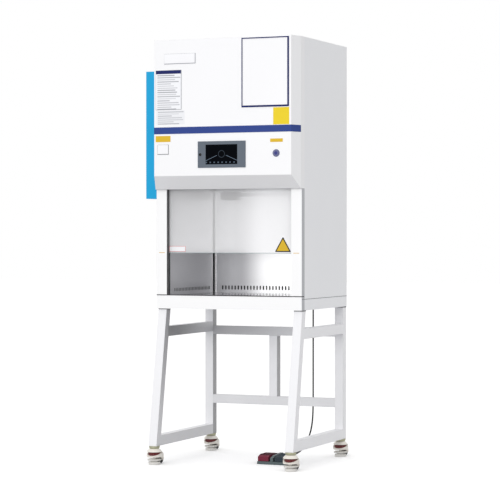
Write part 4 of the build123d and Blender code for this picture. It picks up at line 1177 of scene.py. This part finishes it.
def screw_head(radius, height, sides=24):
    """Pan head with a six-sided socket, standing on the XY plane."""
    def build(solid):
        rows = []
        for share, rise, hexed in SCREW_ROWS:
            row = []
            for i in range(sides):
                angle = 2 * math.pi * i / sides
                reach = radius * share
                if hexed:
                    reach /= math.cos((angle % (math.pi / 3)) - math.pi / 6)
                point = Vector((reach * math.cos(angle), reach * math.sin(angle), height * rise)) * MM
                row.append(solid.verts.new(point))
            rows.append(row)
        loft(solid, rows)
        solid.faces.new(rows[0])
        solid.faces.new(rows[-1])
    head = bpy.data.objects.new("screw_head", mesh_of("screw_head", build))
    bpy.context.collection.objects.link(head)
    return head


panel_screw = screw_head(4.2, 2.4)
small_screw = screw_head(2.2, 1.2)
print("screw heads", len(panel_screw.data.polygons), "faces each")

# %% [markdown]
# The screws are all the same, so they come from one Geometry Nodes tree: it takes a cloud of
# points, puts a screw head on each, gives every head its own turn from a fixed seed, and ends in
# one plain mesh with its finish. A real fitter never leaves two sockets in line, and the random
# turn shows that. Four named inputs are the piece, the way it faces, the seed and the finish.

# %% Tree that puts a piece on each point


def scatter_tree():
    """Geometry Nodes tree that puts a piece on every vertex, each with a turn of its own."""
    tree = bpy.data.node_groups.new("pieces_on_points", "GeometryNodeTree")
    tree.interface.new_socket("Points", in_out="INPUT", socket_type="NodeSocketGeometry")
    identifiers = {}
    for name, kind in (
        ("Piece", "NodeSocketObject"),
        ("Facing", "NodeSocketVector"),
        ("Turn seed", "NodeSocketInt"),
        ("Finish", "NodeSocketMaterial"),
    ):
        socket = tree.interface.new_socket(name, in_out="INPUT", socket_type=kind)
        identifiers[name] = socket.identifier
    tree.interface.new_socket("Pieces", in_out="OUTPUT", socket_type="NodeSocketGeometry")
    start, end = tree.nodes.new("NodeGroupInput"), tree.nodes.new("NodeGroupOutput")
    cloud = tree.nodes.new("GeometryNodeMeshToPoints")
    info = tree.nodes.new("GeometryNodeObjectInfo")
    put = tree.nodes.new("GeometryNodeInstanceOnPoints")
    chance = tree.nodes.new("FunctionNodeRandomValue")
    turn = tree.nodes.new("ShaderNodeCombineXYZ")
    rotate = tree.nodes.new("GeometryNodeRotateInstances")
    realize = tree.nodes.new("GeometryNodeRealizeInstances")
    paint = tree.nodes.new("GeometryNodeSetMaterial")
    chance.data_type = "FLOAT"
    top = [socket for socket in chance.inputs if socket.name == "Max" and socket.type == "VALUE"][0]
    top.default_value = 2 * math.pi
    value = [socket for socket in chance.outputs if socket.type == "VALUE"][0]
    for output, target in (
        (start.outputs["Points"], cloud.inputs["Mesh"]),
        (start.outputs["Piece"], info.inputs["Object"]),
        (cloud.outputs["Points"], put.inputs["Points"]),
        (info.outputs["Geometry"], put.inputs["Instance"]),
        (start.outputs["Facing"], put.inputs["Rotation"]),
        (start.outputs["Turn seed"], chance.inputs["Seed"]),
        (value, turn.inputs["Z"]),
        (put.outputs["Instances"], rotate.inputs["Instances"]),
        (turn.outputs["Vector"], rotate.inputs["Rotation"]),
        (rotate.outputs["Instances"], realize.inputs["Geometry"]),
        (realize.outputs["Geometry"], paint.inputs["Geometry"]),
        (start.outputs["Finish"], paint.inputs["Material"]),
        (paint.outputs["Geometry"], end.inputs["Pieces"]),
    ):
        tree.links.new(output, target)
    return tree, identifiers


pieces_on_points, socket_of = scatter_tree()
print("tree with inputs", ", ".join(socket_of))

# %% [markdown]
# The rear sheet is screwed down both of its sides, the top sheet along its edges, the cable outlet
# at its corners and the power inlet at its two ears, each with screws of the size that a hand
# expects there. The tree's result becomes a plain mesh before the screws are declared.

# %% Screws on the rear, the top, the outlet and the inlet
TURN_SEED = 7
FACING_REAR = (-math.pi / 2, 0.0, 0.0)
FACING_UP = (0.0, 0.0, 0.0)


def pieces_at(name, places, piece, facing, material):
    """Copies of a piece at places in millimetres, turned to face a way, as one plain mesh."""
    mesh = bpy.data.meshes.new(name + "_points")
    mesh.from_pydata([at(*place) for place in places], [], [])
    carrier = bpy.data.objects.new(name + "_points", mesh)
    bpy.context.collection.objects.link(carrier)
    modifier = carrier.modifiers.new("pieces", "NODES")
    modifier.node_group = pieces_on_points
    modifier[socket_of["Piece"]] = piece
    modifier[socket_of["Facing"]] = facing
    modifier[socket_of["Turn seed"]] = TURN_SEED
    modifier[socket_of["Finish"]] = material
    made = bpy.data.meshes.new_from_object(carrier.evaluated_get(bpy.context.evaluated_depsgraph_get()))
    bpy.data.objects.remove(carrier)
    print(name, len(places), "copies,", len(made.polygons), "faces")
    return finish_piece(made, name, material, "cabinet")


def spaced(start, end, count):
    """Evenly spaced values from the first to the last."""
    return [start + (end - start) * i / (count - 1) for i in range(count)]


gland_low, gland_high = node_box("cord_gland")
inlet_low, inlet_high = node_box("power_inlet")
gland_height, gland_inset, inlet_inset = 48.0, 7.0, 4.0
rear_x, rear_inset, rear_count = 340.0, 25.0, 8
top_x, top_middle_x = 336.0, (-170.0, 0.0, 170.0)

rear_heights = spaced(base_top + rear_inset, cabinet_top - rear_inset, rear_count)
rear_places = [(side * rear_x, base_rear, z) for side in (-1, 1) for z in rear_heights]
top_places = [(side * top_x, y, cabinet_top) for side in (-1, 1) for y in spaced(60.0, base_rear - 22.0, 4)]
top_places += [(x, y, cabinet_top) for x in top_middle_x for y in (46.0, base_rear - 14.0)]
gland_x = (gland_low[X] + gland_inset, gland_high[X] - gland_inset)
gland_z = (gland_high[Z] - gland_height + gland_inset, gland_high[Z] - gland_inset)
inlet_middle = (inlet_low[Z] + inlet_high[Z]) / 2
small_places = [(x, gland_high[Y], z) for x in gland_x for z in gland_z]
small_places += [(x, inlet_high[Y], inlet_middle) for x in (inlet_low[X] + inlet_inset, inlet_high[X] - inlet_inset)]
for name, places, head, facing in (
    ("rear_screws", rear_places, panel_screw, FACING_REAR),
    ("top_screws", top_places, panel_screw, FACING_UP),
    ("small_screws", small_places, small_screw, FACING_REAR),
):
    pieces_at(name, places, head, facing, bright_steel)
for head in (panel_screw, small_screw):
    bpy.data.objects.remove(head)

# %% [markdown]
# The studio is a pale floor that fades into a white background, with one broad soft lamp. The world
# gives an even light, the lamp in front lifts the faces that look at the camera, and the floor
# shows white to the camera alone, so that it doesn't throw too much light on the object.

# %% Floor, world and lamp


def studio_floor(reach=30.0):
    """Wide floor that keeps a soft shadow."""
    mesh = bpy.data.meshes.new("studio_floor")
    corners = [(-reach, -reach, 0), (reach, -reach, 0), (reach, reach, 0), (-reach, reach, 0)]
    mesh.from_pydata(corners, [], [(0, 1, 2, 3)])
    floor = bpy.data.objects.new("studio_floor", mesh)
    bpy.context.collection.objects.link(floor)
    shade = Shade("studio_floor")
    shade.set(rough=0.9, specular=0.0, glow_strength=0.18)
    rays = shade.node("LightPath").outputs
    seen = shade.calc("MAXIMUM", rays["Is Camera Ray"], rays["Is Glossy Ray"])
    shade.link(shade.mix(seen, rgb(184, 184, 187), rgb(255, 255, 255)), "Base Color")
    shade.link(shade.mix(seen, rgb(0, 0, 0), rgb(255, 255, 255)), "Emission Color")
    dress(floor, shade.material)


def studio_world(strength):
    """Even world light, which the camera sees as white."""
    world = bpy.data.worlds.new("studio_world")
    bpy.context.scene.world = world
    world.use_nodes = True
    tree = world.node_tree
    background = tree.nodes["Background"]
    rays = tree.nodes.new("ShaderNodeLightPath")
    seen = tree.nodes.new("ShaderNodeMath")
    seen.operation = "MAXIMUM"
    tree.links.new(rays.outputs["Is Camera Ray"], seen.inputs[0])
    tree.links.new(rays.outputs["Is Transmission Ray"], seen.inputs[1])
    level = tree.nodes.new("ShaderNodeMapRange")
    level.inputs["To Min"].default_value = strength
    level.inputs["To Max"].default_value = 1.0
    tree.links.new(seen.outputs[0], level.inputs["Value"])
    tree.links.new(level.outputs[0], background.inputs["Strength"])
    background.inputs["Color"].default_value = (1, 1, 1, 1)


def lamp(name, place, target, size, power):
    """Square area lamp that looks at a point."""
    data = bpy.data.lights.new(name, "AREA")
    data.size = size
    data.energy = power
    made = bpy.data.objects.new(name, data)
    made.location = place
    made.rotation_euler = (target - place).to_track_quat("-Z", "Y").to_euler()
    bpy.context.collection.objects.link(made)


world_strength, lamp_size, lamp_power = 0.91, 3.0, 155.0
studio_floor()
studio_world(world_strength)
lamp("front_lamp", at(0.0, -7000.0, 2200.0), at(0.0, 0.0, 1000.0), lamp_size, lamp_power)
print("world strength", world_strength, "lamp", lamp_power, "W")
